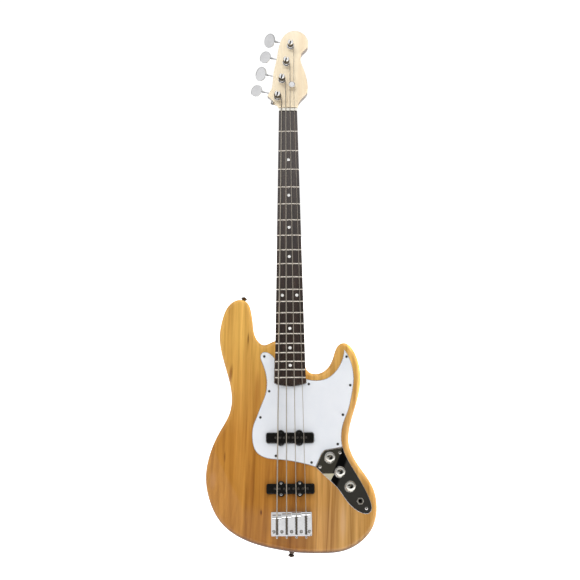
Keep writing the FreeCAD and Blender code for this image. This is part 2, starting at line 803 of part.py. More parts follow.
# Body: belly cut, neck pocket, routs and screw holes.
(waist_x, waist_y, _), = on_body([(-120, 285)])
belly_run = 75
belly_way = V(-belly_run, 0, num("belly_depth"))
belly_axis = V(waist_x + belly_run, waist_y, num("-body_thick - belly_radius")) - belly_way
belly = solid("belly_cut", Part.makeCylinder(num("belly_radius"), 4 * belly_run, belly_axis, belly_way))
neck_pocket = raised("neck_pocket", neck_plan(heel_end + 140, num("pocket_fit")), "-pocket_depth",
                     "pocket_depth + board_rise")
row_end = V(row_step) * 3
cavity_parts = []
for corner in (knob_spots[0], knob_spots[3]):
    cavity_parts.append(Part.makeCylinder(num("cavity_radius"), num("cavity_depth + 1"),
                                          V(corner.x, corner.y, num("-cavity_depth"))))
side = V(-row_way.y, row_way.x, 0) * num("cavity_radius")
first = V(knob_spots[0].x, knob_spots[0].y, num("-cavity_depth"))
rail = [first - side, first + side, first + side + row_end, first - side + row_end, first - side]
cavity_parts.append(Part.Face(Part.makePolygon(rail)).extrude(V(0, 0, num("cavity_depth + 1"))))
cavity = solid("control_cavity", cavity_parts[0].multiFuse(cavity_parts[1:]))
channel_cutter = solid("wire_channels", Part.Compound(channels))

neck_places = [(num("neck_plate_x") + sx * num("neck_plate_width / 2 - 6.5"),
                num("neck_plate_y") + sy * num("neck_plate_length / 2 - 6.5"),
                num("-body_thick - neck_plate_thick")) for sx in (-1, 1) for sy in (-1, 1)]
BACKWARD = FreeCAD.Rotation(V(1, 0, 0), 180)
neck_screws = spread("neck_screws", neck_screw, neck_places, BACKWARD)
neck_cutter = spread("neck_cutter", neck_screw, neck_places, BACKWARD)
stand(neck_screws, "neck_screws")
plate_block = block("neck_plate_block",
                    ("neck_plate_x - neck_plate_width / 2", "neck_plate_y - neck_plate_length / 2",
                     "-body_thick - neck_plate_thick"),
                    ("neck_plate_width", "neck_plate_length", "neck_plate_thick"))
plate_corners = doc.addObject("Part::Fillet", "neck_plate_corners")
plate_corners.Base = plate_block
doc.recompute()
upright = [i + 1 for i, edge in enumerate(plate_block.Shape.Edges) if edge.BoundBox.ZLength > 1]
plate_corners.Edges = [(i, 7, 7) for i in upright]
stand(cut("neck_plate", plate_corners, [neck_cutter]), "neck_plate")

button = turned("strap_button", [
    ("2", "0"),
    ("button_neck + 1.6", "0"),
    ("button_neck", "button_height * 0.45"),
    ("button_radius", "button_height * 0.75"),
    ("button_radius", "button_height * 0.9"),
    ("button_radius - 1", "button_height"),
    ("2", "button_height"),
])
doc.recompute()
MID = num("-body_thick / 2")
buttons = []
strap_tools = []
for aim in on_body([(0, 0), (-98, 509)]):
    where = outline.parameter(V(*aim))
    seat = outline.value(where)
    run = outline.tangent(where)[0]
    out = V(run.y, -run.x, 0)
    if (seat + out - V(-20, 250, 0)).Length < (seat - V(-20, 250, 0)).Length:
        out = -out
    face = FreeCAD.Rotation(V(0, 0, 1), out)
    buttons.append(placed(button.Shape, seat.x, seat.y, MID, face))
    head = seat + out * num("button_height")
    spike = placed(strap_screw.Shape, head.x, head.y, MID, face)
    buttons.append(spike)
    strap_tools.append(spike.copy())
    print("strap button seat", seat, "axis", out)
stand(solid("strap_buttons", Part.Compound(buttons)), "strap_buttons")
strap_cutter = solid("strap_cutter", Part.Compound(strap_tools))

# Bridge: bent plate, screws, saddles, intonation screws and springs.
bridge_sheet = join("bridge_sheet", [
    block("bridge_base", ("-bridge_width / 2", "bridge_back", "0"),
          ("bridge_width", "bridge_depth", "bridge_sheet")),
    block("bridge_rear", ("-bridge_width / 2", "bridge_back", "0"),
          ("bridge_width", "bridge_sheet", "bridge_wall")),
])
bridge_sheet.Refine = True
doc.recompute()
bent = doc.addObject("Part::Fillet", "bridge_bent")
bent.Base = bridge_sheet


def bend_radius(edge):
    """Radius for an edge of the bent plate: the outer bend, the top corners, or none."""
    box = edge.BoundBox
    back = num("bridge_back")
    if box.XLength > 1 and box.ZMax < 0.01 and box.YMax < back + 0.01:
        return 2
    if box.YLength > 1 and box.ZMin > num("bridge_wall") - 0.01:
        return 4
    if box.ZLength > 1 and box.YMin > back + num("bridge_depth") - 0.01:
        return 2
    return 0


bends = [(i + 1, bend_radius(edge)) for i, edge in enumerate(bridge_sheet.Shape.Edges)]
bent.Edges = [(i, radius, radius) for i, radius in bends if radius]
BRIDGE_SCREWS = ("5 - bridge_width / 2", "-bridge_spacing", "0", "bridge_spacing", "bridge_width / 2 - 5")
bridge_places = [(num(x), num("bridge_back + 8.5"), num("bridge_sheet")) for x in BRIDGE_SCREWS]
bridge_screws = spread("bridge_screws", bridge_screw, bridge_places)
bridge_cutter = spread("bridge_cutter", bridge_screw, bridge_places)
stand(bridge_screws, "bridge_screws")
bridge_holes = [bridge_cutter]
for i, letter in enumerate(STRINGS):
    x = "%s * bridge_spacing" % (i - 1.5)
    bridge_holes.append(rod("screw_way_" + letter, (x, "bridge_back - 1", "saddle_axis"),
                            "intonation_radius + run_fit", "bridge_sheet + 2", "y"))
    bridge_holes.append(rod("string_way_" + letter, (x, "bridge_back - 1", "ball_hole_up"),
                            "ball_hole_radius", "bridge_sheet + 2", "y"))
stand(cut("bridge_plate", bent, bridge_holes), "bridge_plate")

FORWARD = FreeCAD.Rotation(V(1, 0, 0), -90)
for i, letter in enumerate(STRINGS):
    x = "%s * bridge_spacing" % (i - 1.5)
    y = "saddle_line + saddle_first + %d * saddle_step" % i
    barrel = rod("barrel_" + letter, (x + " - saddle_length / 2", y, "saddle_axis"), "saddle_radius",
                 "saddle_length", "x")
    groove = rod("groove_" + letter,
                 (x, y + " - 9", "saddle_axis + saddle_radius - saddle_groove + gauge_%s / 2" % letter),
                 "gauge_%s / 2 + 0.06" % letter, "18", "y")
    tapped = rod("tapped_" + letter, (x, y + " - 9", "saddle_axis"), "intonation_radius + run_fit",
                 "18", "y")
    grubs = []
    for k, side in enumerate("-+"):
        grub_foot = ("%s %s grub_offset" % (x, side), y, "bridge_sheet + 0.05")
        grubs.append(rod("grub_%s%d" % (letter, k), grub_foot, "grub_radius",
                         "saddle_axis + grub_rise - bridge_sheet"))
    drilled = cut("saddle_barrel_" + letter, barrel, [groove, tapped] + grubs)
    stand(group("saddle_" + letter, [drilled] + grubs), "saddle_" + letter)
    length = y + " - bridge_back + saddle_radius + saddle_forward + 0.6"
    adjuster = turned("intonation_screw_" + letter, [
        ("0", "-2.5"),
        ("intonation_head - 0.6", "-2.5"),
        ("intonation_head", "-1.9"),
        ("intonation_head", "-0.3"),
        ("intonation_radius", "-0.3"),
        ("intonation_radius", length + " - 0.6"),
        ("intonation_radius - 0.5", length),
        ("0", length),
    ])
    adjuster.Placement.Rotation = UPRIGHT.multiply(FORWARD)
    bind(adjuster, "Placement.Base.x", x)
    bind(adjuster, "Placement.Base.y", "-body_thick / 2 - saddle_axis")
    bind(adjuster, "Placement.Base.z", "bridge_back")
    node(adjuster, "intonation_screw_" + letter)

# The body after every cavity and hole.
hollows = [neck_pocket, cavity, channel_cutter, belly] + routs
drills = [ear_cutter, guard_cutter, plate_cutter, neck_cutter, strap_cutter, bridge_cutter]
stand(cut("body", body_round, hollows + drills), "body")


# Neck: heel block, carved shaft and headstock.
def eased(share):
    """Smooth step from 0 to 1."""
    share = min(max(share, 0), 1)
    return share * share * (3 - 2 * share)


def carved_section(y, wide, top, low, power):
    """A neck cross section: flat on top, rounded below, squarer for a higher power."""
    deep = top - low
    points = []
    for k in range(17):
        angle = math.pi * k / 16
        across = math.copysign(abs(math.cos(angle)) ** (2 / power), math.cos(angle)) * wide
        points.append((across, y, top - deep * abs(math.sin(angle)) ** (2 / power)))
    return Part.Wire([smooth(points), straight(points[-1], points[0])])


HEEL_RAMP = 45
shaft_start = heel_end + num("heel_length") - 1
shaft_end = nut_y + num("nut_thick + board_behind")
heel_low = -num("pocket_depth")
nut_low = num("board_rise - neck_depth")


def shaft_section(y):
    """The neck's own section between the heel and the nut."""
    turn = eased((y - shaft_start) / HEEL_RAMP)
    swell = num("neck_swell") * (shaft_end - y) / (shaft_end - shaft_start)
    start_low = heel_low + num("heel_step")
    low = start_low + turn * (nut_low - swell - start_low)
    wide = max(half_width(y), num("nut_width / 2")) - 0.05 * (1 - turn)
    return carved_section(y, wide, board_under, low, 9 - 6.7 * turn)


stations = [shaft_start + HEEL_RAMP * k / 8 for k in range(9)] + [shaft_end]
neck_shaft = solid("neck_shaft", Part.makeLoft([shaft_section(y) for y in stations], True, True))
neck_heel = raised("neck_heel", neck_plan(heel_end + num("heel_length"), 0), "-pocket_depth",
                   "pocket_depth + board_rise - board_thick")

# Headstock outline, measured from the nut line.
HEAD_OUTLINE = [
    (20, 5), (21, 12), (25, 26), (32.5, 37), (41.5, 48), (44.5, 62), (43.8, 74), (41, 90),
    (35, 110.5), (30.3, 124), (29, 135.5), (32.5, 148), (42, 158), (46.7, 172), (43.5, 186),
    (32.8, 198.5), (15.4, 203.8), (-2, 197), (-12, 184.5), (-18.1, 168.5), (-24.8, 131.5),
    (-32.8, 90), (-37.7, 57), (-43, 47.5), (-45.3, 40), (-40, 30.5), (-29, 18), (-20, 5),
]
head_edge = [(x, nut_y + y, 0) for x, y in HEAD_OUTLINE]
head_face_plan = sheet_of([smooth(head_edge), straight(head_edge[-1], head_edge[0])])
head_blank = raised("head_blank", head_face_plan, "board_rise - head_drop - head_thick",
                    "head_drop + head_thick")


def side_view():
    """The headstock from the side: a scoop down from the nut in front and a ramp behind."""
    start = shaft_end
    scoop_end = start + num("scoop_length")
    ramp_end = start + num("head_ramp")
    far = nut_y + 260
    fall = board_under - head_face
    radius = (num("scoop_length") ** 2 + fall ** 2) / (2 * fall)
    half = num("scoop_length") / 2
    middle = V(0, scoop_end - half, head_face + radius - math.sqrt(radius ** 2 - half ** 2))
    scoop = Part.Arc(V(0, start, board_under), middle, V(0, scoop_end, head_face)).toShape()
    bend = Part.BSplineCurve()
    bend.interpolate([V(0, start, nut_low), V(0, (start + ramp_end) / 2, (nut_low + head_back) / 2),
                      V(0, ramp_end, head_back)], InitialTangent=V(0, 1, 0), FinalTangent=V(0, 1, 0))
    rest = [(0, scoop_end, head_face), (0, far, head_face), (0, far, head_back), (0, ramp_end, head_back)]
    root = straight((0, start, nut_low), (0, start, board_under))
    return sheet_of([scoop, bend.toShape(), root] + runs(rest))


side_cut = side_view().extrude(V(200, 0, 0))
side_cut.translate(V(-100, 0, 0))
flare = []
for share in (0, 0.25, 0.5, 0.75, 1):
    y = shaft_end + share * 60
    grow = eased(share)
    flare.append(carved_section(y, num("nut_width / 2") + 60 * share * (0.4 + 0.6 * share), board_under,
                                nut_low - grow * (nut_low - head_back + 14), 2.3 + 5 * share))
flare_solid = Part.makeLoft(flare, True)
beyond = Part.makeBox(220, 220, 60, V(-110, shaft_end + 60, head_back - 20))
head_form = solid("head_carving", side_cut.common(flare_solid.fuse(beyond)))
headstock = doc.addObject("Part::Common", "headstock")
headstock.Base = head_blank
headstock.Tool = head_form
neck_blank = join("neck_blank", [neck_heel, neck_shaft, headstock])

rod_low = "board_rise - board_thick - rod_depth"
rod_start = heel_end + 2
truss = solid("truss_rod", Part.makeCylinder(num("rod_radius"), shaft_end - 14 - rod_start,
                                             V(0, rod_start, num(rod_low)), V(0, 1, 0)))
stand(truss, "truss_rod")
rod_way = solid("rod_way", Part.makeCylinder(num("rod_radius + run_fit"), shaft_end - 13 - heel_end + 4,
                                             V(0, heel_end - 4, num(rod_low)), V(0, 1, 0)))

# Fingerboard, frets, dots and nut.
camber_axis = V(0, 0, num("board_rise - board_radius"))
ALONG = V(0, 1, 0)
board_blank = raised("board_blank", neck_plan(nut_y, 0), "board_rise - board_thick", "board_thick + 2")
camber = solid("board_camber", Part.makeCylinder(num("board_radius"), nut_y + 100, camber_axis, ALONG))
board_form = doc.addObject("Part::Common", "board_form")
board_form.Base = board_blank
board_form.Tool = camber


def fret_y(number):
    """Distance of a fret along the neck."""
    return num("saddle_line") + num("scale_length") * 2 ** (-number / 12)


def fret_wire(number):
    """A fret: crown and tang turned about the board's camber axis."""
    y = fret_y(number)
    top = num("board_rise")
    wide = num("fret_width / 2")
    tang = num("tang_width / 2")
    deep = top - num("tang_depth")
    crown = Part.Arc(V(0, y + wide, top), V(0, y, top + num("fret_height")), V(0, y - wide, top)).toShape()
    foot = [(0, y - wide, top), (0, y - tang, top), (0, y - tang, deep), (0, y + tang, deep),
            (0, y + tang, top), (0, y + wide, top)]
    swing = math.degrees(math.asin((half_width(y) - 0.3) / num("board_radius")))
    profile = sheet_of([crown] + runs(foot))
    profile.rotate(camber_axis, ALONG, -swing)
    return profile.revolve(camber_axis, ALONG, 2 * swing)


def fret_slot(number):
    """The saw cut that a fret's tang sits in."""
    y = fret_y(number) - num("tang_width / 2")
    base = camber_axis + V(0, y, 0)
    outer = Part.makeCylinder(num("board_radius + 3"), num("tang_width"), base, ALONG)
    return outer.cut(Part.makeCylinder(num("board_radius - tang_depth"), num("tang_width"), base, ALONG))


frets = range(1, int(num("fret_count")) + 1)
stand(solid("frets", Part.Compound([fret_wire(number) for number in frets])), "frets")
slots = solid("fret_slots", Part.Compound([fret_slot(number) for number in frets]))


def dot(number, x):
    """A position dot between two frets."""
    y = (fret_y(number) + fret_y(number - 1)) / 2
    foot = V(x, y, num("board_rise - dot_depth - 0.6"))
    return Part.makeCylinder(num("dot_radius"), num("dot_depth + 3"), foot)


DOTS = (3, 5, 7, 9, 15, 17, 19)
dot_blanks = [dot(number, 0) for number in DOTS]
dot_blanks += [dot(12, side * num("dot_pair_spacing / 2")) for side in (-1, 1)]
dot_wells = solid("dot_wells", Part.Compound(dot_blanks))
dot_discs = [blank.common(camber.Shape) for blank in dot_blanks]
stand(solid("position_dots", Part.Compound(dot_discs)), "position_dots")
board = cut("board", board_form, [slots, dot_wells])
board_end = block("board_end",
                  ("0.2 - nut_width / 2", "saddle_line + scale_length + nut_thick",
                   "board_rise - board_thick"),
                  ("nut_width - 0.4", "board_behind", "board_thick - 0.6"))
stand(group("fingerboard", [board, board_end]), "fingerboard")

string_low = num("board_rise + nut_slot_rise")
nut_blank = block("nut_blank", ("-nut_width / 2", "saddle_line + scale_length", "board_rise - board_thick"),
                  ("nut_width", "nut_thick", "board_thick + nut_rise"))
nut_slots = []
for i, letter in enumerate(STRINGS):
    wire = num("gauge_%s / 2 + nut_slot_fit" % letter)
    near = V(string_x(i, nut_y - 3), nut_y - 3, string_low + wire)
    far = V(string_x(i, nut_y + 12), nut_y + 12, string_low + wire)
    trough = Part.makeCylinder(wire, 15, near, far - near)
    rim = [near - V(wire, 0, 0), near + V(wire, 0, 0), far + V(wire, 0, 0), far - V(wire, 0, 0)]
    mouth = Part.Face(Part.makePolygon(rim + [rim[0]])).extrude(V(0, 0, 6))
    nut_slots.append(trough.fuse(mouth))
stand(cut("nut", nut_blank, [solid("nut_slots", Part.Compound(nut_slots))]), "nut")


# Tuners, drawn at the post axis on the headstock's back: x to the key, y to the tip, z backward.
slant = math.radians(num("post_row_angle"))
KEY_WAY = V(-math.cos(slant), math.sin(slant), 0)
ROW_WAY = V(math.sin(slant), math.cos(slant), 0)
tuner_turn = FreeCAD.Rotation(KEY_WAY, ROW_WAY, V(0, 0, -1), "XYZ")


def post_spot(index):
    """Place of a tuner post on the headstock's back face."""
    start = V(num("post_first_x"), nut_y + num("post_first_up"), head_back)
    return start + ROW_WAY * (index * num("post_pitch"))


def tuner_place(index):
    """Where a tuner drawn at its post axis goes."""
    return FreeCAD.Placement(post_spot(index), tuner_turn)


gear_radius = num("gear_module * gear_teeth / 2")
worm_lead = math.pi * num("gear_module")
worm_away = gear_radius + num("worm_pitch_radius")
gear_mid = num("gear_lift")
FLANK = math.tan(math.radians(20))


def gear_wheel():
    """The wheel on the post: straight-sided teeth, twisted to follow the worm's thread."""
    teeth = int(num("gear_teeth"))
    module = num("gear_module")
    at_pitch = math.pi * module / 2 - num("gear_backlash")
    rings = ((gear_radius - 1.2 * module, 1.2), (gear_radius + 0.9 * module, -0.9))
    half = [(radius, (at_pitch / 2 + depth * module * FLANK) / radius) for radius, depth in rings]
    outline_points = []
    for k in range(teeth):
        middle = 2 * math.pi * (k + 0.5) / teeth + math.pi / 2
        (low, low_half), (high, high_half) = half
        for radius, angle in ((low, -low_half), (high, -high_half), (high, high_half), (low, low_half)):
            outline_points.append((radius, middle + angle))
    twist = math.atan(worm_lead / (2 * math.pi * num("worm_pitch_radius")))
    slope = math.tan(twist) / gear_radius
    layers = []
    for side in (-1, 1):
        level = side * num("gear_thick / 2")
        ring = [V(r * math.cos(a + slope * level), r * math.sin(a + slope * level), gear_mid + level)
                for r, a in outline_points]
        layers.append(Part.makePolygon(ring + [ring[0]]))
    blank = Part.makeLoft(layers, True, True)
    return blank.cut(Part.makeCylinder(num("post_spigot"), 40, V(0, 0, -10)))


def worm():
    """The thread on the key shaft, a swept trapezoid fused to its core."""
    module = num("gear_module")
    pitch_radius = num("worm_pitch_radius")
    turns = num("worm_turns")
    core = pitch_radius - 1.2 * module
    crest = pitch_radius + 0.9 * module
    at_pitch = math.pi * module / 2 - num("gear_backlash")
    foot = core - 0.3
    foot_half = at_pitch / 2 + (pitch_radius - foot) * FLANK
    crest_half = at_pitch / 2 - (crest - pitch_radius) * FLANK
    path = Part.makeHelix(worm_lead, worm_lead * turns, pitch_radius)
    corners = [V(foot, 0, -foot_half), V(crest, 0, -crest_half), V(crest, 0, crest_half),
               V(foot, 0, foot_half)]
    profile = Part.makePolygon(corners + [corners[0]])
    thread = Part.Wire(path.Edges).makePipeShell([profile], True, True)
    thread.translate(V(0, 0, -worm_lead * (0.75 + round(turns / 2 - 0.75))))
    hub = Part.makeCylinder(core, worm_lead * turns + 4, V(0, 0, -worm_lead * turns / 2 - 2))
    return thread.fuse(hub)


plate_top = num("tuner_sheet")
wheel_high = num("gear_lift + gear_thick / 2")
post_body = turned("post_turning", [
    ("0", "gear_lift + gear_thick / 2"),
    ("post_spigot", "gear_lift + gear_thick / 2"),
    ("post_spigot", "gear_lift - gear_thick / 2"),
    ("post_shoulder", "gear_lift - gear_thick / 2"),
    ("post_shoulder", "tuner_sheet + 0.3"),
    ("post_journal", "tuner_sheet + 0.3"),
    ("post_journal", "-head_thick - ferrule_rise - 0.3"),
    ("post_waist + 1", "-head_thick - ferrule_rise - 0.3"),
    ("post_waist + 1", "-head_thick - ferrule_rise - 1.2"),
    ("post_waist", "-head_thick - ferrule_rise - 2"),
    ("post_waist", "-head_thick - post_rise + 5"),
    ("post_waist + 1.2", "-head_thick - post_rise + 3.6"),
    ("post_waist + 1.2", "-head_thick - post_rise + 0.8"),
    ("post_waist + 0.4", "-head_thick - post_rise"),
    ("0", "-head_thick - post_rise"),
])
slot_cut = block("post_slot_cut", ("-post_slot / 2", "-10", "-head_thick - post_rise - 1"),
                 ("post_slot", "20", "6.5"))
hole_cut = rod("post_hole_cut", ("0", "0", "-head_thick - post_rise - 1"), "post_slot / 2", "12")
post = cut("post", post_body, [slot_cut, hole_cut])
doc.recompute()
gear = gear_wheel()
stub = Part.makeCylinder(num("post_spigot + 1.2"), 1.8, V(0, 0, wheel_high))
stub = stub.makeFillet(0.8, [edge for edge in stub.Edges if edge.BoundBox.ZMin > wheel_high + 1])
thread = worm()
thread.rotate(V(0, 0, 0), V(0, 1, 0), 90)


def paddle():
    """The key's oval wing with a softened rim, edge centre at the shaft's end."""
    oval = Part.Ellipse(V(0, 0, 0), num("key_tall / 2"), num("key_wide / 2"))
    face = Part.Face(Part.Wire(oval.toShape()))
    wing = face.extrude(V(0, 0, num("key_thick")))
    wing.translate(V(0, 0, -num("key_thick / 2")))
    wing = wing.makeFillet(num("key_thick") * 0.4, wing.Edges)
    wing.rotate(V(0, 0, 0), V(0, 0, 1), 90)
    return wing


reach = num("key_reach")
inner_end = reach - num("key_wide / 2")
shaft_solid = Part.makeCylinder(num("key_shaft"), inner_end + 12 + 2, V(-12, 0, 0), V(1, 0, 0))
neck_cone = Part.makeCone(num("key_shaft"), 4.2, 8, V(inner_end - 7, 0, 0), V(1, 0, 0))
collar = Part.makeCylinder(4, 2, V(13, 0, 0), V(1, 0, 0))
wing = paddle()
worm_offset = FreeCAD.Placement(V(0, worm_away, gear_mid), FreeCAD.Rotation())
REST_TURN = (12, -14, 8, -20)
for i, letter in enumerate(STRINGS):
    leaf = wing.copy()
    leaf.translate(V(reach, 0, 0))
    leaf.rotate(V(0, 0, 0), V(1, 0, 0), REST_TURN[i])
    key = shaft_solid.multiFuse([thread, neck_cone, collar, leaf])
    key_node = solid("tuner_key_" + letter, key)
    key_node.Placement = FLAT.multiply(tuner_place(i)).multiply(worm_offset)
    node(key_node, "tuner_key_" + letter)
    post_node = solid("tuner_post_" + letter, Part.Compound([post.Shape.copy(), gear.copy(), stub.copy()]))
    post_node.Placement = FLAT.multiply(tuner_place(i))
    node(post_node, "tuner_post_" + letter)

wide = num("tuner_plate_wide")
plate_low = num("-tuner_plate_below")
plate_high = num("tuner_plate_long - tuner_plate_below")
sheet = Part.makeBox(wide, plate_high - plate_low, plate_top, V(-wide / 2, plate_low, 0))
sheet = sheet.makeFillet(3, [edge for edge in sheet.Edges if edge.BoundBox.ZLength > 1])
lugs = []
lug_top = num("gear_lift + lug_wide / 2")
for x in (num("-lug_apart / 2 - lug_thick"), num("lug_apart / 2")):
    lug = Part.makeBox(num("lug_thick"), num("lug_wide"), lug_top, V(x, worm_away - num("lug_wide / 2"), 0))
    crown = [edge for edge in lug.Edges if edge.BoundBox.XLength > 1 and edge.BoundBox.ZMin > lug_top - 1]
    lugs.append(lug.makeFillet(3, crown))
shaft_way = Part.makeCylinder(num("key_shaft + run_fit"), 60, V(-30, worm_away, gear_mid), V(1, 0, 0))
post_way = Part.makeCylinder(num("post_journal + run_fit"), 10, V(0, 0, -4))
inset = num("tuner_pin_inset")
pins = []
for x in (inset - wide / 2, wide / 2 - inset):
    for y in (plate_low + inset, plate_high - inset):
        pins.append(placed(small_screw.Shape, x, y, plate_top))
tuner_plate = sheet.multiFuse(lugs).cut(Part.Compound([shaft_way, post_way] + pins))
ferrule_top = num("-head_thick - ferrule_rise")
ferrule = Part.makeCylinder(num("ferrule_flange"), num("ferrule_rise"), V(0, 0, ferrule_top))
lip = [edge for edge in ferrule.Edges if edge.BoundBox.ZMax < ferrule_top + 0.1]
ferrule = ferrule.makeFillet(0.9, lip)
ferrule = ferrule.fuse(Part.makeCylinder(num("ferrule_barrel"), 9, V(0, 0, num("-head_thick"))))
ferrule = ferrule.cut(Part.makeCylinder(num("post_journal + run_fit"), 60, V(0, 0, -50)))


def at_tuners(shapes):
    """Copies of shapes drawn at a post axis, at all four tuners."""
    copies = []
    for i in range(4):
        for shape in shapes:
            copy = shape.copy()
            copy.Placement = tuner_place(i).multiply(copy.Placement)
            copies.append(copy)
    return Part.Compound(copies)


stand(solid("tuner_plates", at_tuners([tuner_plate])), "tuner_plates")
stand(solid("tuner_screws", at_tuners(pins)), "tuner_screws")
stand(solid("tuner_bushings", at_tuners([ferrule])), "tuner_bushings")
bush_hole = Part.makeCylinder(num("ferrule_barrel"), 60, V(0, 0, -50))
head_drills = solid("head_drills", at_tuners([bush_hole]))
pin_holes = solid("pin_holes", at_tuners(pins))
for i, letter in enumerate(STRINGS):
    worm_spot = tuner_place(i).multVec(worm_offset.Base)
    print("tuner", letter, "post", post_spot(i), "worm", worm_spot)

# String tree: a round button on a stem that holds two strings down.
tree = turned("string_tree", [
    ("0", "0"),
    ("tree_stem", "0"),
    ("tree_stem", "tree_gap"),
    ("tree_radius", "tree_gap"),
    ("tree_radius", "tree_gap + 1.6"),
    ("tree_radius - 1.6", "tree_gap + 2.8"),
    ("0", "tree_gap + 2.8"),
])
tree.Placement.Rotation = UPRIGHT
bind(tree, "Placement.Base.x", "tree_x")
bind(tree, "Placement.Base.y", "-body_thick / 2 - board_rise + head_drop")
bind(tree, "Placement.Base.z", "saddle_line + scale_length + tree_up")
node(tree, "string_tree")
stand(cut("neck", neck_blank, [rod_way, neck_cutter, head_drills, pin_holes]), "neck")


# Strings and springs: round tubes along straight runs and tangent arcs.
def arc_from(start, way, end):
    """The arc that leaves a point along a direction and reaches another point."""
    chord = end - start
    side = chord - way * chord.dot(way)
    if side.Length < 1e-6:
        return Part.LineSegment(start, end).toShape()
    side.normalize()
    radius = chord.dot(chord) / (2 * chord.dot(side))
    centre = start + side * radius
    angle = 2 * math.atan2(chord.dot(side), chord.dot(way))
    half = centre - side * (radius * math.cos(angle / 2)) + way * (radius * math.sin(angle / 2))
    return Part.Arc(start, half, end).toShape()


def biarc(start, way, end, end_way):
    """Two tangent arcs between two points with given directions."""
    gap = end - start
    both = way + end_way
    spare = 2 * (1 - way.dot(end_way))
    lean = gap.dot(both)
    reach = (math.sqrt(lean * lean + spare * gap.dot(gap)) - lean) / spare
    middle = (start + way * reach + end - end_way * reach) * 0.5
    first_arc = arc_from(start, way, middle)
    turn = arc_from(end, -end_way, middle)
    halfway = turn.valueAt((turn.FirstParameter + turn.LastParameter) / 2)
    second = Part.Arc(middle, halfway, end).toShape()
    return [first_arc, second]


def coil(centre, axis, across, radius, start_angle, turns, lead):
    """Quarter-turn biarcs along a helix, with its end points and directions."""
    up = V(axis)
    other = up.cross(across)
    climb = lead / (2 * math.pi)
    edges = []
    ends = []
    count = int(round(turns * 4))
    for k in range(count + 1):
        angle = start_angle + k * math.pi / 2
        out = across * math.cos(angle) + other * math.sin(angle)
        along = other * math.cos(angle) - across * math.sin(angle)
        spot = centre + out * radius + up * (climb * k * math.pi / 2)
        way = (along * radius + up * climb).normalize()
        ends.append((spot, way))
    for (spot, way), (next_spot, next_way) in zip(ends, ends[1:]):
        edges += biarc(spot, way, next_spot, next_way)
    return edges, ends[0], ends[-1]


def eased_runs(points, radii):
    """Straight runs through points, with an arc of the given radius at each inner corner."""
    edges = []
    begin = points[0]
    for before, corner, after, radius in zip(points, points[1:], points[2:], radii):
        way_in = (corner - before).normalize()
        way_out = (after - corner).normalize()
        angle = way_in.getAngle(way_out)
        if angle < 1e-5:
            continue
        cut_back = radius * math.tan(angle / 2)
        enter = corner - way_in * cut_back
        leave = corner + way_out * cut_back
        edges.append(Part.LineSegment(begin, enter).toShape())
        edges.append(arc_from(enter, way_in, leave))
        begin = leave
    edges.append(Part.LineSegment(begin, points[-1]).toShape())
    return edges


def tube(name, edges, radius):
    """A round tube along edges that follow each other, checked against its length."""
    path = Part.Wire(edges)
    start = edges[0].valueAt(edges[0].FirstParameter)
    way = edges[0].tangentAt(edges[0].FirstParameter)
    shell = Part.BRepOffsetAPI.MakePipeShell(path)
    shell.add(Part.Wire(Part.makeCircle(radius, start, way)))
    shell.build()
    shell.makeSolid()
    made = shell.shape()
    expected = math.pi * radius ** 2 * path.Length
    print(name, "volume over section times length %.4f" % (made.Volume / expected), "valid", made.isValid())
    return made


def self_gap(edges, radius, lead_points):
    """Least gap between neighbouring turns of a wound tube, measured on points."""
    points = []
    for edge in edges:
        first, last = edge.FirstParameter, edge.LastParameter
        points += [edge.valueAt(first + (last - first) * k / 6) for k in range(6)]
    least = 1e9
    for i in range(0, len(points)):
        for j in range(i + lead_points, len(points)):
            least = min(least, (points[i] - points[j]).Length)
    return least - 2 * radius


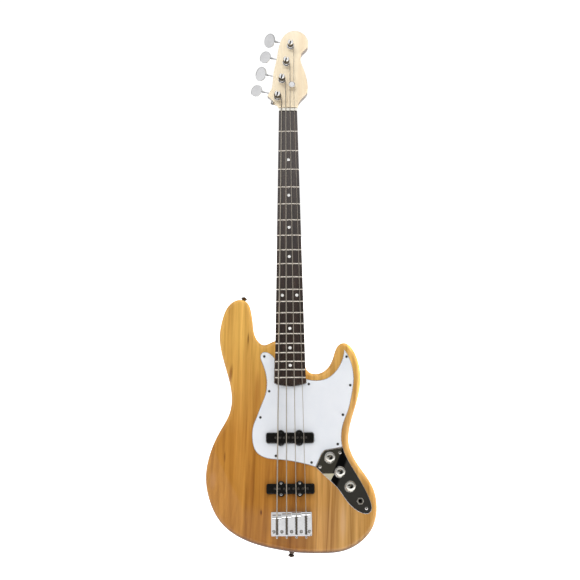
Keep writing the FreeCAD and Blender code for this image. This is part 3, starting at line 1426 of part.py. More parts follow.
HALF_TURN_POINTS = 24
WOUND_TURNS = {"e": 2, "a": 2.5, "d": 3, "g": 3.5}
for i, letter in enumerate(STRINGS):
    wire = num("gauge_%s / 2" % letter)
    bridge_x = (i - 1.5) * num("bridge_spacing")
    past_nut = nut_y + num("nut_thick + 1")
    saddle_top = num("saddle_axis + saddle_radius - saddle_groove") + wire
    saddle_y = num("saddle_line + saddle_first + %d * saddle_step" % i)
    hub = post_spot(i)
    radius = num("post_waist + wind_clear") + wire
    lead = 2 * wire + num("wind_gap")
    low = head_face + num("ferrule_rise") + 3.2 + wire
    points = [
        V(bridge_x, num("bridge_back - ball_radius"), num("ball_hole_up")),
        V(bridge_x, saddle_y, saddle_top),
        V(string_x(i, past_nut), past_nut, string_low + wire + num("nut_slot_fit")),
    ]
    radii = [9, 5]
    if letter in "dg":
        side = -1 if letter == "d" else 1
        points.append(V(num("tree_x") + side * (num("tree_stem + 0.6") + wire),
                        nut_y + num("tree_up - tree_radius"),
                        head_face + num("tree_gap - 0.25") - wire))
        radii.append(30)
    last = points[-1]
    away = V(last.x - hub.x, last.y - hub.y, 0)
    angle = math.atan2(away.y, away.x) + math.acos(radius / away.Length)
    turn_edges, (touch, touch_way), (end, end_way) = coil(
        V(hub.x, hub.y, low), V(0, 0, 1), V(1, 0, 0), radius, angle, WOUND_TURNS[letter], lead)
    points.append(touch - touch_way * 14)
    radii.append(30)
    points.append(touch)
    edges = eased_runs(points, radii) + turn_edges
    edges.append(Part.LineSegment(end, end + end_way * (2 * wire)).toShape())
    made = tube("string_" + letter, edges, wire)
    print("string_" + letter, "least gap between turns %.3f" % self_gap(turn_edges, wire, HALF_TURN_POINTS))
    ball = Part.makeSphere(num("ball_radius"), points[0])
    stand(solid("string_" + letter, made.fuse(ball)), "string_" + letter)

    spring_wire = num("spring_wire")
    near = num("bridge_back + bridge_sheet") + spring_wire + 0.15
    far = saddle_y - num("saddle_radius") - spring_wire - 0.15
    turns = num("spring_turns")
    spring_edges, (tail, tail_way), (tip_end, tip_way) = coil(
        V(bridge_x, near, num("saddle_axis")), V(0, 1, 0), V(1, 0, 0), num("spring_radius"), 0, turns,
        (far - near) / turns)
    spring_edges.insert(0, Part.LineSegment(tail - tail_way * (2 * spring_wire), tail).toShape())
    spring_edges.append(Part.LineSegment(tip_end, tip_end + tip_way * (2 * spring_wire)).toShape())
    spring = tube("saddle_spring_" + letter, spring_edges, spring_wire)
    gap = self_gap(spring_edges, spring_wire, HALF_TURN_POINTS)
    print("saddle_spring_" + letter, "least gap between turns %.3f" % gap)
    stand(solid("saddle_spring_" + letter, spring), "saddle_spring_" + letter)

doc.recompute()
faults = [thing.Label for thing in doc.Objects if "Invalid" in thing.State or "Error" in thing.State]
if faults:
    raise ValueError("not built: " + ", ".join(faults))
os.makedirs("parts", exist_ok=True)
for piece in nodes:
    shape = piece.Shape
    if shape.isNull() or not shape.isValid():
        raise ValueError("bad solid: " + piece.Label)
    shape.exportStep("parts/%s.step" % piece.Label)
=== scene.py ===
import math

import bmesh
import bpy
from mathutils import Matrix, Vector


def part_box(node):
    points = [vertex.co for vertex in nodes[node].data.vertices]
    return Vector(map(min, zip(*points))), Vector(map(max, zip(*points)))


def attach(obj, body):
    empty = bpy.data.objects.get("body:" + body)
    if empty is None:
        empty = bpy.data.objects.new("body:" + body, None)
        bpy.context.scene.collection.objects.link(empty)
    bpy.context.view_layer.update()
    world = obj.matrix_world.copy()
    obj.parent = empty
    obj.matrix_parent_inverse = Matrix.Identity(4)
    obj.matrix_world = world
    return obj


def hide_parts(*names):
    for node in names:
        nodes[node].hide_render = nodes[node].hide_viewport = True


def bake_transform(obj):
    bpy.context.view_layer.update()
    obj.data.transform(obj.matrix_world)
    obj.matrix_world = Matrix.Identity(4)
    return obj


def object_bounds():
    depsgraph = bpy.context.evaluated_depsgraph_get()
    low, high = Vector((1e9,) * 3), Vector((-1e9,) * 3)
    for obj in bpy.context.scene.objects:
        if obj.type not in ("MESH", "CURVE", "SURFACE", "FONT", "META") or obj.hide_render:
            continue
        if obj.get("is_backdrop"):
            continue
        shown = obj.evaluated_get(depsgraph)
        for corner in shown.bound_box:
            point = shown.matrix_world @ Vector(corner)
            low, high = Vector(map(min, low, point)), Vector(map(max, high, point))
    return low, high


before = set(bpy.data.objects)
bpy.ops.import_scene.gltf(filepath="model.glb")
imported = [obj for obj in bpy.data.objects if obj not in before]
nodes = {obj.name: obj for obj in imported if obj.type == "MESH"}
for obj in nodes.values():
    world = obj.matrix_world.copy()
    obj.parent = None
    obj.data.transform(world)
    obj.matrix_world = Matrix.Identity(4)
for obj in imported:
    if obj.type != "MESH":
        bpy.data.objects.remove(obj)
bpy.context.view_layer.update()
scene = bpy.context.scene
LETTERS = ("e", "a", "d", "g")
KNOBS = ("neck_volume", "bridge_volume", "tone")
# Front face of the body, in millimetres ahead of the origin.
FACE = 22.25


# Shader building blocks.
def link_or_set(tree, socket, value):
    """Links a socket to another one, or sets its constant."""
    if isinstance(value, bpy.types.NodeSocket):
        tree.links.new(value, socket)
    else:
        socket.default_value = value


def put(tree, kind, inputs=None, **settings):
    """Adds a shader node, sets its options, and links or sets its inputs."""
    made = tree.nodes.new(kind)
    for key, value in settings.items():
        setattr(made, key, value)
    for key, value in (inputs or {}).items():
        link_or_set(tree, made.inputs[key], value)
    return made


def ramp(tree, factor, stops, ease="LINEAR"):
    """A colour ramp: stops are (position, colour)."""
    made = put(tree, "ShaderNodeValToRGB", {"Fac": factor})
    made.color_ramp.interpolation = ease
    marks = made.color_ramp.elements
    while len(marks) < len(stops):
        marks.new(0.5)
    for mark, (place, colour) in zip(marks, stops):
        mark.position = place
        mark.color = (*colour, 1)
    return made.outputs["Color"]


def grey(level):
    """A neutral colour, or one scale on every axis."""
    return (level, level, level)


def mix(tree, factor, a, b, mode="MIX"):
    """Mixes two colours."""
    made = put(tree, "ShaderNodeMix", data_type="RGBA", blend_type=mode)
    for index, value in ((0, factor), (6, a), (7, b)):
        link_or_set(tree, made.inputs[index], (*value, 1) if isinstance(value, tuple) else value)
    return made.outputs[2]


def maths(tree, kind, *values):
    """One arithmetic step on sockets or numbers."""
    return put(tree, "ShaderNodeMath", dict(enumerate(values)), operation=kind).outputs[0]


def product(tree, *shares):
    """Several shares multiplied together."""
    total = shares[0]
    for share in shares[1:]:
        total = maths(tree, "MULTIPLY", total, share)
    return total


def leaning(tree, across, along, lean):
    """A sideways place measured from a line that leans."""
    return maths(tree, "SUBTRACT", across, maths(tree, "MULTIPLY", along, lean))


def from_centre(tree, across, up, half_width, half_height):
    """Distance from the centre of an ellipse, 1 on its rim."""
    off = put(tree, "ShaderNodeCombineXYZ", {"X": maths(tree, "DIVIDE", across, half_width),
                                             "Z": maths(tree, "DIVIDE", up, half_height)}).outputs["Vector"]
    return put(tree, "ShaderNodeVectorMath", {0: off}, operation="LENGTH").outputs["Value"]


def stretched(tree, scale):
    """Object coordinates, scaled."""
    where = put(tree, "ShaderNodeTexCoord").outputs["Object"]
    return put(tree, "ShaderNodeMapping", {"Vector": where, "Scale": scale}).outputs["Vector"]


def noise(tree, vector, detail=4.0, rough=0.55, twist=0.0):
    """Fractal noise as a number."""
    return put(tree, "ShaderNodeTexNoise", {"Vector": vector, "Scale": 1.0, "Detail": detail, "Roughness": rough,
                                            "Distortion": twist}).outputs["Fac"]


def bump(tree, height, distance, strength, normal=None):
    """A bumped normal, over an eased one if given."""
    made = put(tree, "ShaderNodeBump", {"Height": height, "Distance": distance, "Strength": strength})
    if normal is not None:
        tree.links.new(normal, made.inputs["Normal"])
    return made.outputs["Normal"]


def eased_edges(tree, radius):
    """The normal of a surface whose sharp edges are slightly rounded."""
    return put(tree, "ShaderNodeBevel", {"Radius": radius}, samples=6).outputs["Normal"]


def surface_normal(tree):
    """The components of the surface normal."""
    normal = put(tree, "ShaderNodeNewGeometry").outputs["Normal"]
    return put(tree, "ShaderNodeSeparateXYZ", {"Vector": normal}).outputs


def facing_down(tree, normal, start, full, most):
    """The share by which a surface faces the floor."""
    return ramp(tree, maths(tree, "MULTIPLY", normal["Z"], -1.0), [(start, grey(0.0)), (full, grey(most))])


def coordinate(tree, axis):
    """One object coordinate in metres."""
    where = put(tree, "ShaderNodeTexCoord").outputs["Object"]
    return put(tree, "ShaderNodeSeparateXYZ", {"Vector": where}).outputs[axis]


def material(name, **fixed):
    """A material with one principled shader whose constant sockets are set."""
    made = bpy.data.materials.new(name)
    made.use_nodes = True
    tree = made.node_tree
    shader = next(n for n in tree.nodes if n.type == "BSDF_PRINCIPLED")
    for key, value in fixed.items():
        socket = shader.inputs[key.replace("_", " ")]
        socket.default_value = (*value, 1) if isinstance(value, tuple) else value
    return made, tree, shader


def wire_up(tree, shader, **sockets):
    """Links values into the shader."""
    for key, value in sockets.items():
        tree.links.new(value, shader.inputs[key.replace("_", " ")])


# Materials.
# Tones across the body's planks, from the bass edge to the treble edge.
PLANKS = (
    (0.02, (0.50, 0.225, 0.042)), (0.10, (0.48, 0.210, 0.035)), (0.16, (0.41, 0.170, 0.026)),
    (0.20, (0.52, 0.235, 0.043)), (0.26, (0.49, 0.215, 0.037)), (0.30, (0.40, 0.165, 0.024)),
    (0.34, (0.47, 0.200, 0.034)), (0.40, (0.42, 0.172, 0.028)), (0.44, (0.35, 0.138, 0.021)),
    (0.50, (0.43, 0.178, 0.029)), (0.56, (0.38, 0.155, 0.026)), (0.62, (0.46, 0.215, 0.048)),
    (0.645, (0.56, 0.290, 0.082)), (0.70, (0.51, 0.262, 0.074)), (0.76, (0.54, 0.295, 0.096)),
    (0.83, (0.57, 0.325, 0.108)), (0.95, (0.53, 0.280, 0.074)),
)
# Scale and shift that lay the planks' tones over the width of the body.
PLANK_SCALE, PLANK_SHIFT = 2.8, 0.5436
# How far the planks' lines wander sideways, in metres, and how they tilt through the thickness.
WANDER, TILT = 0.03, 0.7
STREAKS = ((0.28, (0.60, 0.51, 0.40)), (0.46, (0.94, 0.92, 0.88)), (0.56, (1.08, 1.10, 1.10)),
           (0.74, (1.30, 1.40, 1.50)))
# Streaks to the metre on each axis, and the lean of the streaks.
STREAK_SCALE, STREAK_LEAN = (75.0, 25.0, 2.4), 0.05
# Marks in the body's wood, one of them painted shade: x, z, half width, half height, lean, strength, colour.
MARKS = (
    (-0.0669, 0.3141, 0.0085, 0.060, 0.04, 0.60, (0.36, 0.140, 0.022)),
    (-0.0785, 0.1250, 0.0065, 0.055, 0.02, 0.62, (0.32, 0.120, 0.020)),
    (-0.0300, 0.1540, 0.0045, 0.024, 0.02, 0.60, (0.30, 0.110, 0.018)),
    (-0.0180, 0.1600, 0.0022, 0.020, 0.06, 0.60, (0.28, 0.100, 0.016)),
    (-0.0450, 0.1500, 0.0035, 0.022, 0.08, 0.50, (0.32, 0.120, 0.020)),
    (0.0215, 0.1376, 0.0055, 0.034, 0.03, 0.55, (0.34, 0.135, 0.024)),
    # This soft dark patch just under the bridge is painted shade, not a mark in the wood.
    (0.0120, 0.0180, 0.0180, 0.014, 0.00, 0.45, (0.36, 0.145, 0.035)),
    (-0.1560, 0.1390, 0.0110, 0.026, 0.05, 0.34, (0.52, 0.260, 0.110)),
    (0.1011, 0.0550, 0.0085, 0.050, 0.03, 0.60, (0.56, 0.345, 0.180)),
    (-0.1340, 0.2150, 0.0045, 0.034, 0.05, 0.40, (0.34, 0.135, 0.025)),
    (-0.1325, 0.1840, 0.0024, 0.015, 0.02, 0.75, (0.22, 0.080, 0.016)),
    (-0.1215, 0.3520, 0.0055, 0.026, 0.14, 0.75, (0.26, 0.095, 0.020)),
    (-0.0866, 0.4150, 0.0040, 0.030, 0.05, 0.45, (0.36, 0.150, 0.028)),
    (-0.0862, 0.4245, 0.0017, 0.017, 0.02, 0.90, (0.11, 0.035, 0.010)),
    (-0.0597, 0.0755, 0.0040, 0.012, 0.00, 0.50, (0.34, 0.130, 0.024)),
    (-0.0597, 0.0755, 0.0026, 0.0075, 0.00, 0.95, (0.09, 0.028, 0.009)),
)
# Glue seams of the planks: x at z = 0 and lean.
SEAMS = ((0.0674, 0.0755), (0.0469, 0.041), (0.1158, 0.0))
# The control cavity lies behind this y and past this x.
CAVITY_Y, CAVITY_X = -0.018, 0.05


def body_wood():
    """Amber lacquered planks with streaks along the strings, seams and a few knots, with painted light and shade."""
    made, tree, shader = material("body_wood", Roughness=0.4, Specular_IOR_Level=0.12, Coat_Weight=0.6,
                                  Coat_Roughness=0.04)
    x, y, z = (coordinate(tree, axis) for axis in "XYZ")
    wander = noise(tree, stretched(tree, (7, 7, 1.8)), 2.0)
    across = maths(tree, "ADD", maths(tree, "MULTIPLY_ADD", wander, WANDER, -WANDER / 2), x)
    across = maths(tree, "MULTIPLY_ADD", y, TILT, across)
    tone = ramp(tree, maths(tree, "MULTIPLY_ADD", across, PLANK_SCALE, PLANK_SHIFT), PLANKS)

    # Painted light and shade, as if lit from above: paler and yellower toward the horns, duller and darker toward the
    # tail.
    height = maths(tree, "MULTIPLY", z, 2.0)
    tone = mix(tree, ramp(tree, height, [(0.46, grey(0.0)), (0.86, grey(0.8))]), tone, (0.72, 0.415, 0.100))
    painted_shade = ramp(tree, height, [(0.0, (0.84, 0.81, 0.80)), (0.55, grey(1.0))])
    tone = mix(tree, 1.0, tone, painted_shade, "MULTIPLY")

    places = zip("XYZ", (leaning(tree, across, z, STREAK_LEAN), y, z), STREAK_SCALE)
    grain = put(tree, "ShaderNodeCombineXYZ", {axis: maths(tree, "MULTIPLY", place, scale)
                                               for axis, place, scale in places}).outputs["Vector"]
    streak = noise(tree, grain, 5.0, 0.58, 0.5)
    tone = mix(tree, 0.95, tone, ramp(tree, streak, STREAKS), "MULTIPLY")
    ring = put(tree, "ShaderNodeTexWave", {
        "Vector": stretched(tree, (24, 18, 1.4)), "Scale": 1.0, "Distortion": 6.0, "Detail": 3.0,
        "Detail Scale": 0.8}, wave_type="BANDS", bands_direction="X").outputs["Fac"]
    rings = ramp(tree, ring, [(0.0, (0.84, 0.80, 0.74)), (0.35, grey(1.0)), (1.0, grey(1.05))])
    tone = mix(tree, 0.6, tone, rings, "MULTIPLY")
    pore = noise(tree, stretched(tree, (1500, 900, 22)), 2.0, 0.5)
    tone = mix(tree, 0.5, tone, ramp(tree, pore, [(0.34, grey(0.74)), (0.44, grey(1.0))]), "MULTIPLY")

    # Seams fade out above the bridge.
    low = ramp(tree, maths(tree, "MULTIPLY", z, 5.0), [(0.55, grey(0.75)), (0.75, grey(0.0))])
    for start, lean in SEAMS:
        line = leaning(tree, maths(tree, "SUBTRACT", x, start), z, lean)
        off = maths(tree, "MULTIPLY", maths(tree, "ABSOLUTE", line), 500.0)
        seam = ramp(tree, off, [(0.12, (0.50, 0.42, 0.34)), (0.6, grey(1.0))])
        tone = mix(tree, low, tone, mix(tree, 1.0, tone, seam, "MULTIPLY"))
    for at_x, at_z, wide, tall, lean, strength, colour in MARKS:
        off_z = maths(tree, "SUBTRACT", z, at_z)
        off_x = leaning(tree, maths(tree, "SUBTRACT", x, at_x), off_z, lean)
        rim = from_centre(tree, off_x, off_z, wide, tall)
        tone = mix(tree, ramp(tree, rim, [(0.2, grey(strength)), (1.0, grey(0.0))], "EASE"), tone, colour)

    # Painted shade: dark brown on faces turned toward the floor; and black on the floor of the control cavity.
    normal = surface_normal(tree)
    # The dark brown here is painted shade on the underside.
    tone = mix(tree, facing_down(tree, normal, 0.25, 0.85, 0.96), tone, (0.050, 0.017, 0.008))
    inside = product(tree, maths(tree, "GREATER_THAN", y, CAVITY_Y), maths(tree, "GREATER_THAN", x, CAVITY_X),
                     maths(tree, "LESS_THAN", normal["Y"], -0.9))
    tone = mix(tree, inside, tone, grey(0.006))
    relief = maths(tree, "ADD", streak, pore)
    wire_up(tree, shader, Base_Color=tone, Normal=bump(tree, relief, 0.00004, 0.35))
    return made


def maple():
    """Pale neck wood with faint flecks, with painted shade on the edges that face the floor."""
    made, tree, shader = material("neck_maple", Roughness=0.42, Coat_Weight=0.25, Coat_Roughness=0.18)
    broad = noise(tree, stretched(tree, (45, 45, 3)), 4.0, 0.6, 0.5)
    tone = ramp(tree, broad, [(0.3, (0.77, 0.61, 0.405)), (0.5, (0.84, 0.71, 0.505)), (0.7, (0.88, 0.765, 0.575))])
    fine = noise(tree, stretched(tree, (700, 700, 18)), 3.0)
    tone = mix(tree, 0.5, tone, ramp(tree, fine, [(0.3, grey(0.88)), (0.55, grey(1.0))]), "MULTIPLY")
    normal = surface_normal(tree)
    edge = ramp(tree, maths(tree, "ABSOLUTE", normal["Y"]), [(0.35, grey(1.0)), (0.6, grey(0.0))])
    # Painted shade: side faces turned toward the floor are made dark brown.
    under = product(tree, facing_down(tree, normal, 0.06, 0.4, 0.97), edge)
    tone = mix(tree, under, tone, (0.065, 0.042, 0.028))
    wire_up(tree, shader, Base_Color=tone, Normal=bump(tree, fine, 0.00003, 0.3))
    return made


def rosewood():
    """Dark oiled fingerboard wood with open pores."""
    made, tree, shader = material("board_rosewood", Specular_IOR_Level=0.9, IOR=1.6)
    broad = noise(tree, stretched(tree, (160, 160, 4)), 5.0, 0.6, 0.6)
    tone = ramp(tree, broad, [(0.28, (0.012, 0.006, 0.004)), (0.5, (0.026, 0.014, 0.010)),
                              (0.75, (0.052, 0.028, 0.019))])
    pore = noise(tree, stretched(tree, (1800, 1800, 40)), 2.0)
    tone = mix(tree, 0.7, tone, ramp(tree, pore, [(0.36, grey(0.45)), (0.46, grey(1.0))]), "MULTIPLY")
    streak = noise(tree, stretched(tree, (330, 330, 6)))
    rough = maths(tree, "MULTIPLY_ADD", streak, 0.24, 0.08)
    wire_up(tree, shader, Base_Color=tone, Roughness=rough, Normal=bump(tree, pore, 0.00004, 0.35))
    return made


def metal(name, colour, low, high, grain, edge=0.0004):
    """A plated metal whose gloss varies a little between a low and a high roughness."""
    made, tree, shader = material(name, Metallic=1.0)
    smear = noise(tree, stretched(tree, grey(grain)), 4.0, 0.65)
    dim = tuple(c * 0.88 for c in colour)
    wire_up(tree, shader, Base_Color=ramp(tree, smear, [(0.3, dim), (0.65, colour)]),
            Roughness=maths(tree, "MULTIPLY_ADD", smear, high - low, low),
            Normal=bump(tree, smear, 0.000004, 0.3, eased_edges(tree, edge)))
    return made


def post_chrome():
    """Plated posts, with painted shade inside the slot and under the cap."""
    made, tree, shader = material("chrome_post", Metallic=1.0)
    smear = noise(tree, stretched(tree, grey(90)), 4.0, 0.65)
    # Ambient occlusion darkens the base colour in hollows: painted shade.
    open_sky = put(tree, "ShaderNodeAmbientOcclusion", {"Distance": 0.006}, samples=8, only_local=True).outputs["AO"]
    wire_up(tree, shader, Base_Color=ramp(tree, open_sky, [(0.45, grey(0.015)), (0.85, grey(0.88))]),
            Roughness=maths(tree, "MULTIPLY_ADD", smear, 0.06, 0.03),
            Normal=bump(tree, smear, 0.000004, 0.3, eased_edges(tree, 0.0003)))
    return made


def guard_white():
    """White laminate with a dark middle layer that shows at its edge."""
    made, tree, shader = material("guard_plastic", Roughness=0.22, Coat_Weight=0.4, Coat_Roughness=0.05)
    cloud = noise(tree, stretched(tree, grey(30)), 3.0)
    white = ramp(tree, cloud, [(0.3, (0.735, 0.76, 0.805)), (0.7, (0.775, 0.795, 0.83))])
    soft = eased_edges(tree, 0.0022)
    flat = put(tree, "ShaderNodeNewGeometry").outputs["Normal"]
    turn = put(tree, "ShaderNodeVectorMath", {0: soft, 1: flat}, operation="DOT_PRODUCT").outputs["Value"]
    plies = ramp(tree, turn, [(0.74, grey(0.35)), (0.80, (0.13, 0.105, 0.08)), (0.97, (0.07, 0.055, 0.04)),
                              (0.996, grey(1.0))])
    tone = mix(tree, 1.0, white, plies, "MULTIPLY")
    wire_up(tree, shader, Base_Color=tone, Normal=bump(tree, cloud, 0.00002, 0.15, soft))
    return made


def plastic(name, colour, rough, grain):
    """A moulded plastic with a fine surface."""
    made, tree, shader = material(name, Specular_IOR_Level=0.2)
    fine = noise(tree, stretched(tree, grey(grain)), 3.0)
    dim = tuple(c * 0.75 for c in colour)
    wire_up(tree, shader, Base_Color=ramp(tree, fine, [(0.3, dim), (0.7, colour)]),
            Roughness=maths(tree, "MULTIPLY_ADD", fine, 0.16, rough - 0.08),
            Normal=bump(tree, fine, 0.00002, 0.3, eased_edges(tree, 0.0006)))
    return made


def pearl():
    """Milky dots with soft swirls."""
    made, tree, shader = material("dot_pearl", Roughness=0.25, Coat_Weight=0.5)
    swirl = noise(tree, stretched(tree, grey(300)), 3.0, 0.5, 2.0)
    tone = ramp(tree, swirl, [(0.3, (0.78, 0.77, 0.73)), (0.5, (0.92, 0.91, 0.88)), (0.7, (0.84, 0.87, 0.88))])
    wire_up(tree, shader, Base_Color=tone)
    return made


def lit_and_shaded_screws():
    """One steel painted two ways: shaded dark on the upper pickup, bright with painted glints on the lower pickup."""
    made, tree, shader = material("pickup_screw_steel", Metallic=1.0, Roughness=0.25)
    between_pickups = 0.17
    upper = maths(tree, "GREATER_THAN", coordinate(tree, "Z"), between_pickups)
    smear = noise(tree, stretched(tree, grey(900)), 3.0)
    # The bright tone is a painted highlight and the dark tone is painted shade.
    bright = ramp(tree, smear, [(0.3, grey(0.30)), (0.7, grey(0.48))])
    dark = ramp(tree, smear, [(0.3, grey(0.015)), (0.7, grey(0.05))])
    wire_up(tree, shader, Base_Color=mix(tree, upper, bright, dark))
    return made


def wound(name, pitch, plain_length):
    """Round-wound string: fine wraps along its length, darker past its plain length; on the tails this is painted
    shade.
    """
    made, tree, shader = material(name, Metallic=1.0)
    along = put(tree, "ShaderNodeUVMap", uv_map="length").outputs["UV"]
    run = put(tree, "ShaderNodeSeparateXYZ", {"Vector": along}).outputs
    turns = maths(tree, "MULTIPLY", run["X"], 2 * math.pi / pitch)
    around = maths(tree, "MULTIPLY", run["Y"], 2 * math.pi)
    wave = maths(tree, "SINE", maths(tree, "ADD", turns, around))
    wrap = maths(tree, "MULTIPLY_ADD", wave, 0.5, 0.5)
    smear = noise(tree, stretched(tree, grey(400)), 3.0)
    tone = mix(tree, smear, (0.47, 0.42, 0.35), (0.64, 0.585, 0.505))
    tone = mix(tree, 0.35, tone, ramp(tree, wrap, [(0.0, grey(0.35)), (0.6, grey(1.0))]), "MULTIPLY")
    # Darker past the plain length: on the windings round the posts, and all along the tails, where it is painted shade.
    past_plain_length = maths(tree, "GREATER_THAN", run["X"], plain_length)
    tone = mix(tree, past_plain_length, tone, mix(tree, 1.0, tone, (0.30, 0.275, 0.24), "MULTIPLY"))
    wire_up(tree, shader, Base_Color=tone, Roughness=maths(tree, "MULTIPLY_ADD", smear, 0.2, 0.22),
            Normal=bump(tree, wrap, pitch * 0.25, 0.6))
    return made


def lead_cloth():
    """Cloth covering of the inner leads."""
    made, tree, shader = material("lead_cloth", Roughness=0.85, Sheen_Weight=0.3)
    weave = put(tree, "ShaderNodeTexVoronoi", {"Vector": stretched(tree, grey(1400)), "Scale": 1.0}).outputs["Distance"]
    tone = ramp(tree, weave, [(0.1, (0.55, 0.46, 0.28)), (0.8, (0.30, 0.24, 0.13))])
    wire_up(tree, shader, Base_Color=tone, Normal=bump(tree, weave, 0.0001, 0.5))
    return made


chrome = metal("chrome_plate", (0.84, 0.84, 0.85), 0.02, 0.07, 60)
# The knobs' chrome is a dimmer, warmer copy of the plate chrome: painted shade in their reflections.
knob_metal = metal("knob_chrome", (0.61, 0.595, 0.55), 0.02, 0.07, 60)
mirror = metal("chrome_mirror", (0.86, 0.86, 0.86), 0.0, 0.012, 30, 0.0010)
# A dimmer copy of the chrome for the domed screw heads: painted shade in their reflections.
domed = metal("chrome_shaded", (0.62, 0.60, 0.57), 0.05, 0.12, 200)
post_metal = post_chrome()
satin = metal("chrome_satin", (0.56, 0.54, 0.48), 0.32, 0.5, 500)
# Near-black steel for the springs and intonation screws: painted shade in the bridge.
shaded_spring_metal = metal("spring_steel", (0.10, 0.092, 0.078), 0.25, 0.4, 900, 0.0001)
steel = metal("screw_steel", (0.60, 0.60, 0.60), 0.15, 0.35, 900)
dark_steel = metal("screw_dark", (0.09, 0.085, 0.08), 0.2, 0.4, 900)
fret_metal = metal("fret_steel", (0.92, 0.85, 0.75), 0.2, 0.36, 700)
pole_metal = metal("pole_steel", (0.11, 0.10, 0.09), 0.3, 0.5, 900)
button_metal = metal("button_dark", (0.075, 0.055, 0.044), 0.12, 0.3, 500)
alloy = metal("pot_alloy", (0.62, 0.62, 0.63), 0.25, 0.45, 500)
black = plastic("black_plastic", (0.0065, 0.006, 0.0052), 0.24, 600)
bone = plastic("nut_bone", (0.86, 0.83, 0.74), 0.38, 300)
tape = plastic("coil_tape", (0.14, 0.06, 0.03), 0.5, 800)
foam = plastic("foam_rubber", (0.06, 0.06, 0.065), 0.9, 1500)

FINISH = {
    "body": body_wood(), "neck": maple(), "fingerboard": rosewood(), "pickguard": guard_white(), "nut": bone,
    "position_dots": pearl(), "frets": fret_metal, "control_wiring": lead_cloth(),
    "neck_pickup_cover": black, "bridge_pickup_cover": black, "pickup_poles": pole_metal, "pickup_coils": tape,
    "pickup_foams": foam, "pickup_screws": lit_and_shaded_screws(), "pickguard_screws": dark_steel,
    "control_plate": mirror, "control_nuts": satin, "control_plate_screws": domed, "potentiometers": alloy,
    "output_jack": pole_metal, "bridge_plate": chrome, "bridge_screws": domed, "strap_buttons": button_metal,
    "neck_plate": chrome, "neck_screws": steel, "truss_rod": steel, "string_tree": chrome,
    "tuner_bushings": chrome, "tuner_plates": chrome, "tuner_screws": steel,
}
for letter in LETTERS:
    FINISH["intonation_screw_" + letter] = shaded_spring_metal
    FINISH["saddle_" + letter] = FINISH["tuner_key_" + letter] = chrome
    FINISH["tuner_post_" + letter] = post_metal
for name in KNOBS:
    FINISH["knob_" + name] = knob_metal
    FINISH["pot_shaft_" + name] = alloy
for name, finish in FINISH.items():
    nodes[name].data.materials.clear()
    nodes[name].data.materials.append(finish)


# Shapes of the strings, springs and crowns.
def new_piece(name, shape, finish):
    """Makes an object of a finished shape."""
    mesh = bpy.data.meshes.new(name)
    shape.to_mesh(mesh)
    shape.free()
    mesh.materials.append(finish)
    made = bpy.data.objects.new(name, mesh)
    scene.collection.objects.link(made)
    return made


def tube(name, points, radius, sides, finish):
    """A closed round tube through points, with its length kept as a texture coordinate."""
    shape = bmesh.new()
    lengths = shape.loops.layers.uv.new("length")
    ways = [(b - a).normalized() for a, b in zip(points, points[1:])]
    ways = [ways[0]] + [(a + b).normalized() for a, b in zip(ways, ways[1:])] + [ways[-1]]
    side = ways[0].orthogonal().normalized()
    rings, runs = [], []
    run = 0.0
    for k, (point, way) in enumerate(zip(points, ways)):
        if k:
            side = ways[k - 1].rotation_difference(way) @ side
            run += (point - points[k - 1]).length
        runs.append(run)
        other = way.cross(side)
        ring = []
        for s in range(sides):
            angle = 2 * math.pi * s / sides
            ring.append(shape.verts.new(point + (side * math.cos(angle) + other * math.sin(angle)) * radius))
        rings.append(ring)
    for k in range(len(rings) - 1):
        for s in range(sides):
            after = (s + 1) % sides
            face = shape.faces.new((rings[k][s], rings[k][after], rings[k + 1][after], rings[k + 1][s]))
            face.smooth = True
            places = ((k, s), (k, s + 1), (k + 1, s + 1), (k + 1, s))
            for loop, (ring_at, side_at) in zip(face.loops, places):
                loop[lengths].uv = (runs[ring_at], side_at / sides)
    shape.faces.new(rings[0][::-1])
    shape.faces.new(rings[-1])
    return new_piece(name, shape, finish)


def turned(name, centre, profile, sides, finish, tip=None):
    """A round piece about Y: (radius, y) pairs from its centre, joined to a tip or back to the first pair."""
    shape = bmesh.new()
    loops = []
    for k in range(sides):
        angle = 2 * math.pi * k / sides
        loops.append([shape.verts.new(centre + Vector((radius * math.cos(angle), y, radius * math.sin(angle))))
                      for radius, y in profile])
    end = None if tip is None else shape.verts.new(centre + Vector((0, tip, 0)))
    for k in range(sides):
        here, there = loops[k], loops[(k + 1) % sides]
        for j in range(len(profile) - 1):
            shape.faces.new((here[j], here[j + 1], there[j + 1], there[j])).smooth = True
        last = (here[-1], here[0], there[0], there[-1]) if end is None else (here[-1], end, there[-1])
        shape.faces.new(last).smooth = True
    bmesh.ops.recalc_face_normals(shape, faces=shape.faces)
    return new_piece(name, shape, finish)


def row(x, y, z):
    """A place given in millimetres on the instrument laid flat, in the row frame."""
    return Vector((x, -FACE - z, y)) / 1000


def rounded_line(corners, radius, step):
    """Points along straight runs whose corners are rounded."""
    arc_steps = 6
    points = [corners[0]]
    for before, corner, after in zip(corners, corners[1:], corners[2:]):
        into = (corner - before).normalized()
        out = (after - corner).normalized()
        back = radius * math.tan(into.angle(out) / 2)
        enter = corner - into * back
        leave = corner + out * back
        for k in range(arc_steps + 1):
            share = k / arc_steps
            points.append(enter * (1 - share) ** 2 + corner * (2 * share * (1 - share)) + leave * share ** 2)
    points.append(corners[-1])
    filled = [points[0]]
    for a, b in zip(points, points[1:]):
        count = max(1, int((b - a).length / step))
        filled += [a.lerp(b, (k + 1) / count) for k in range(count)]
    return filled


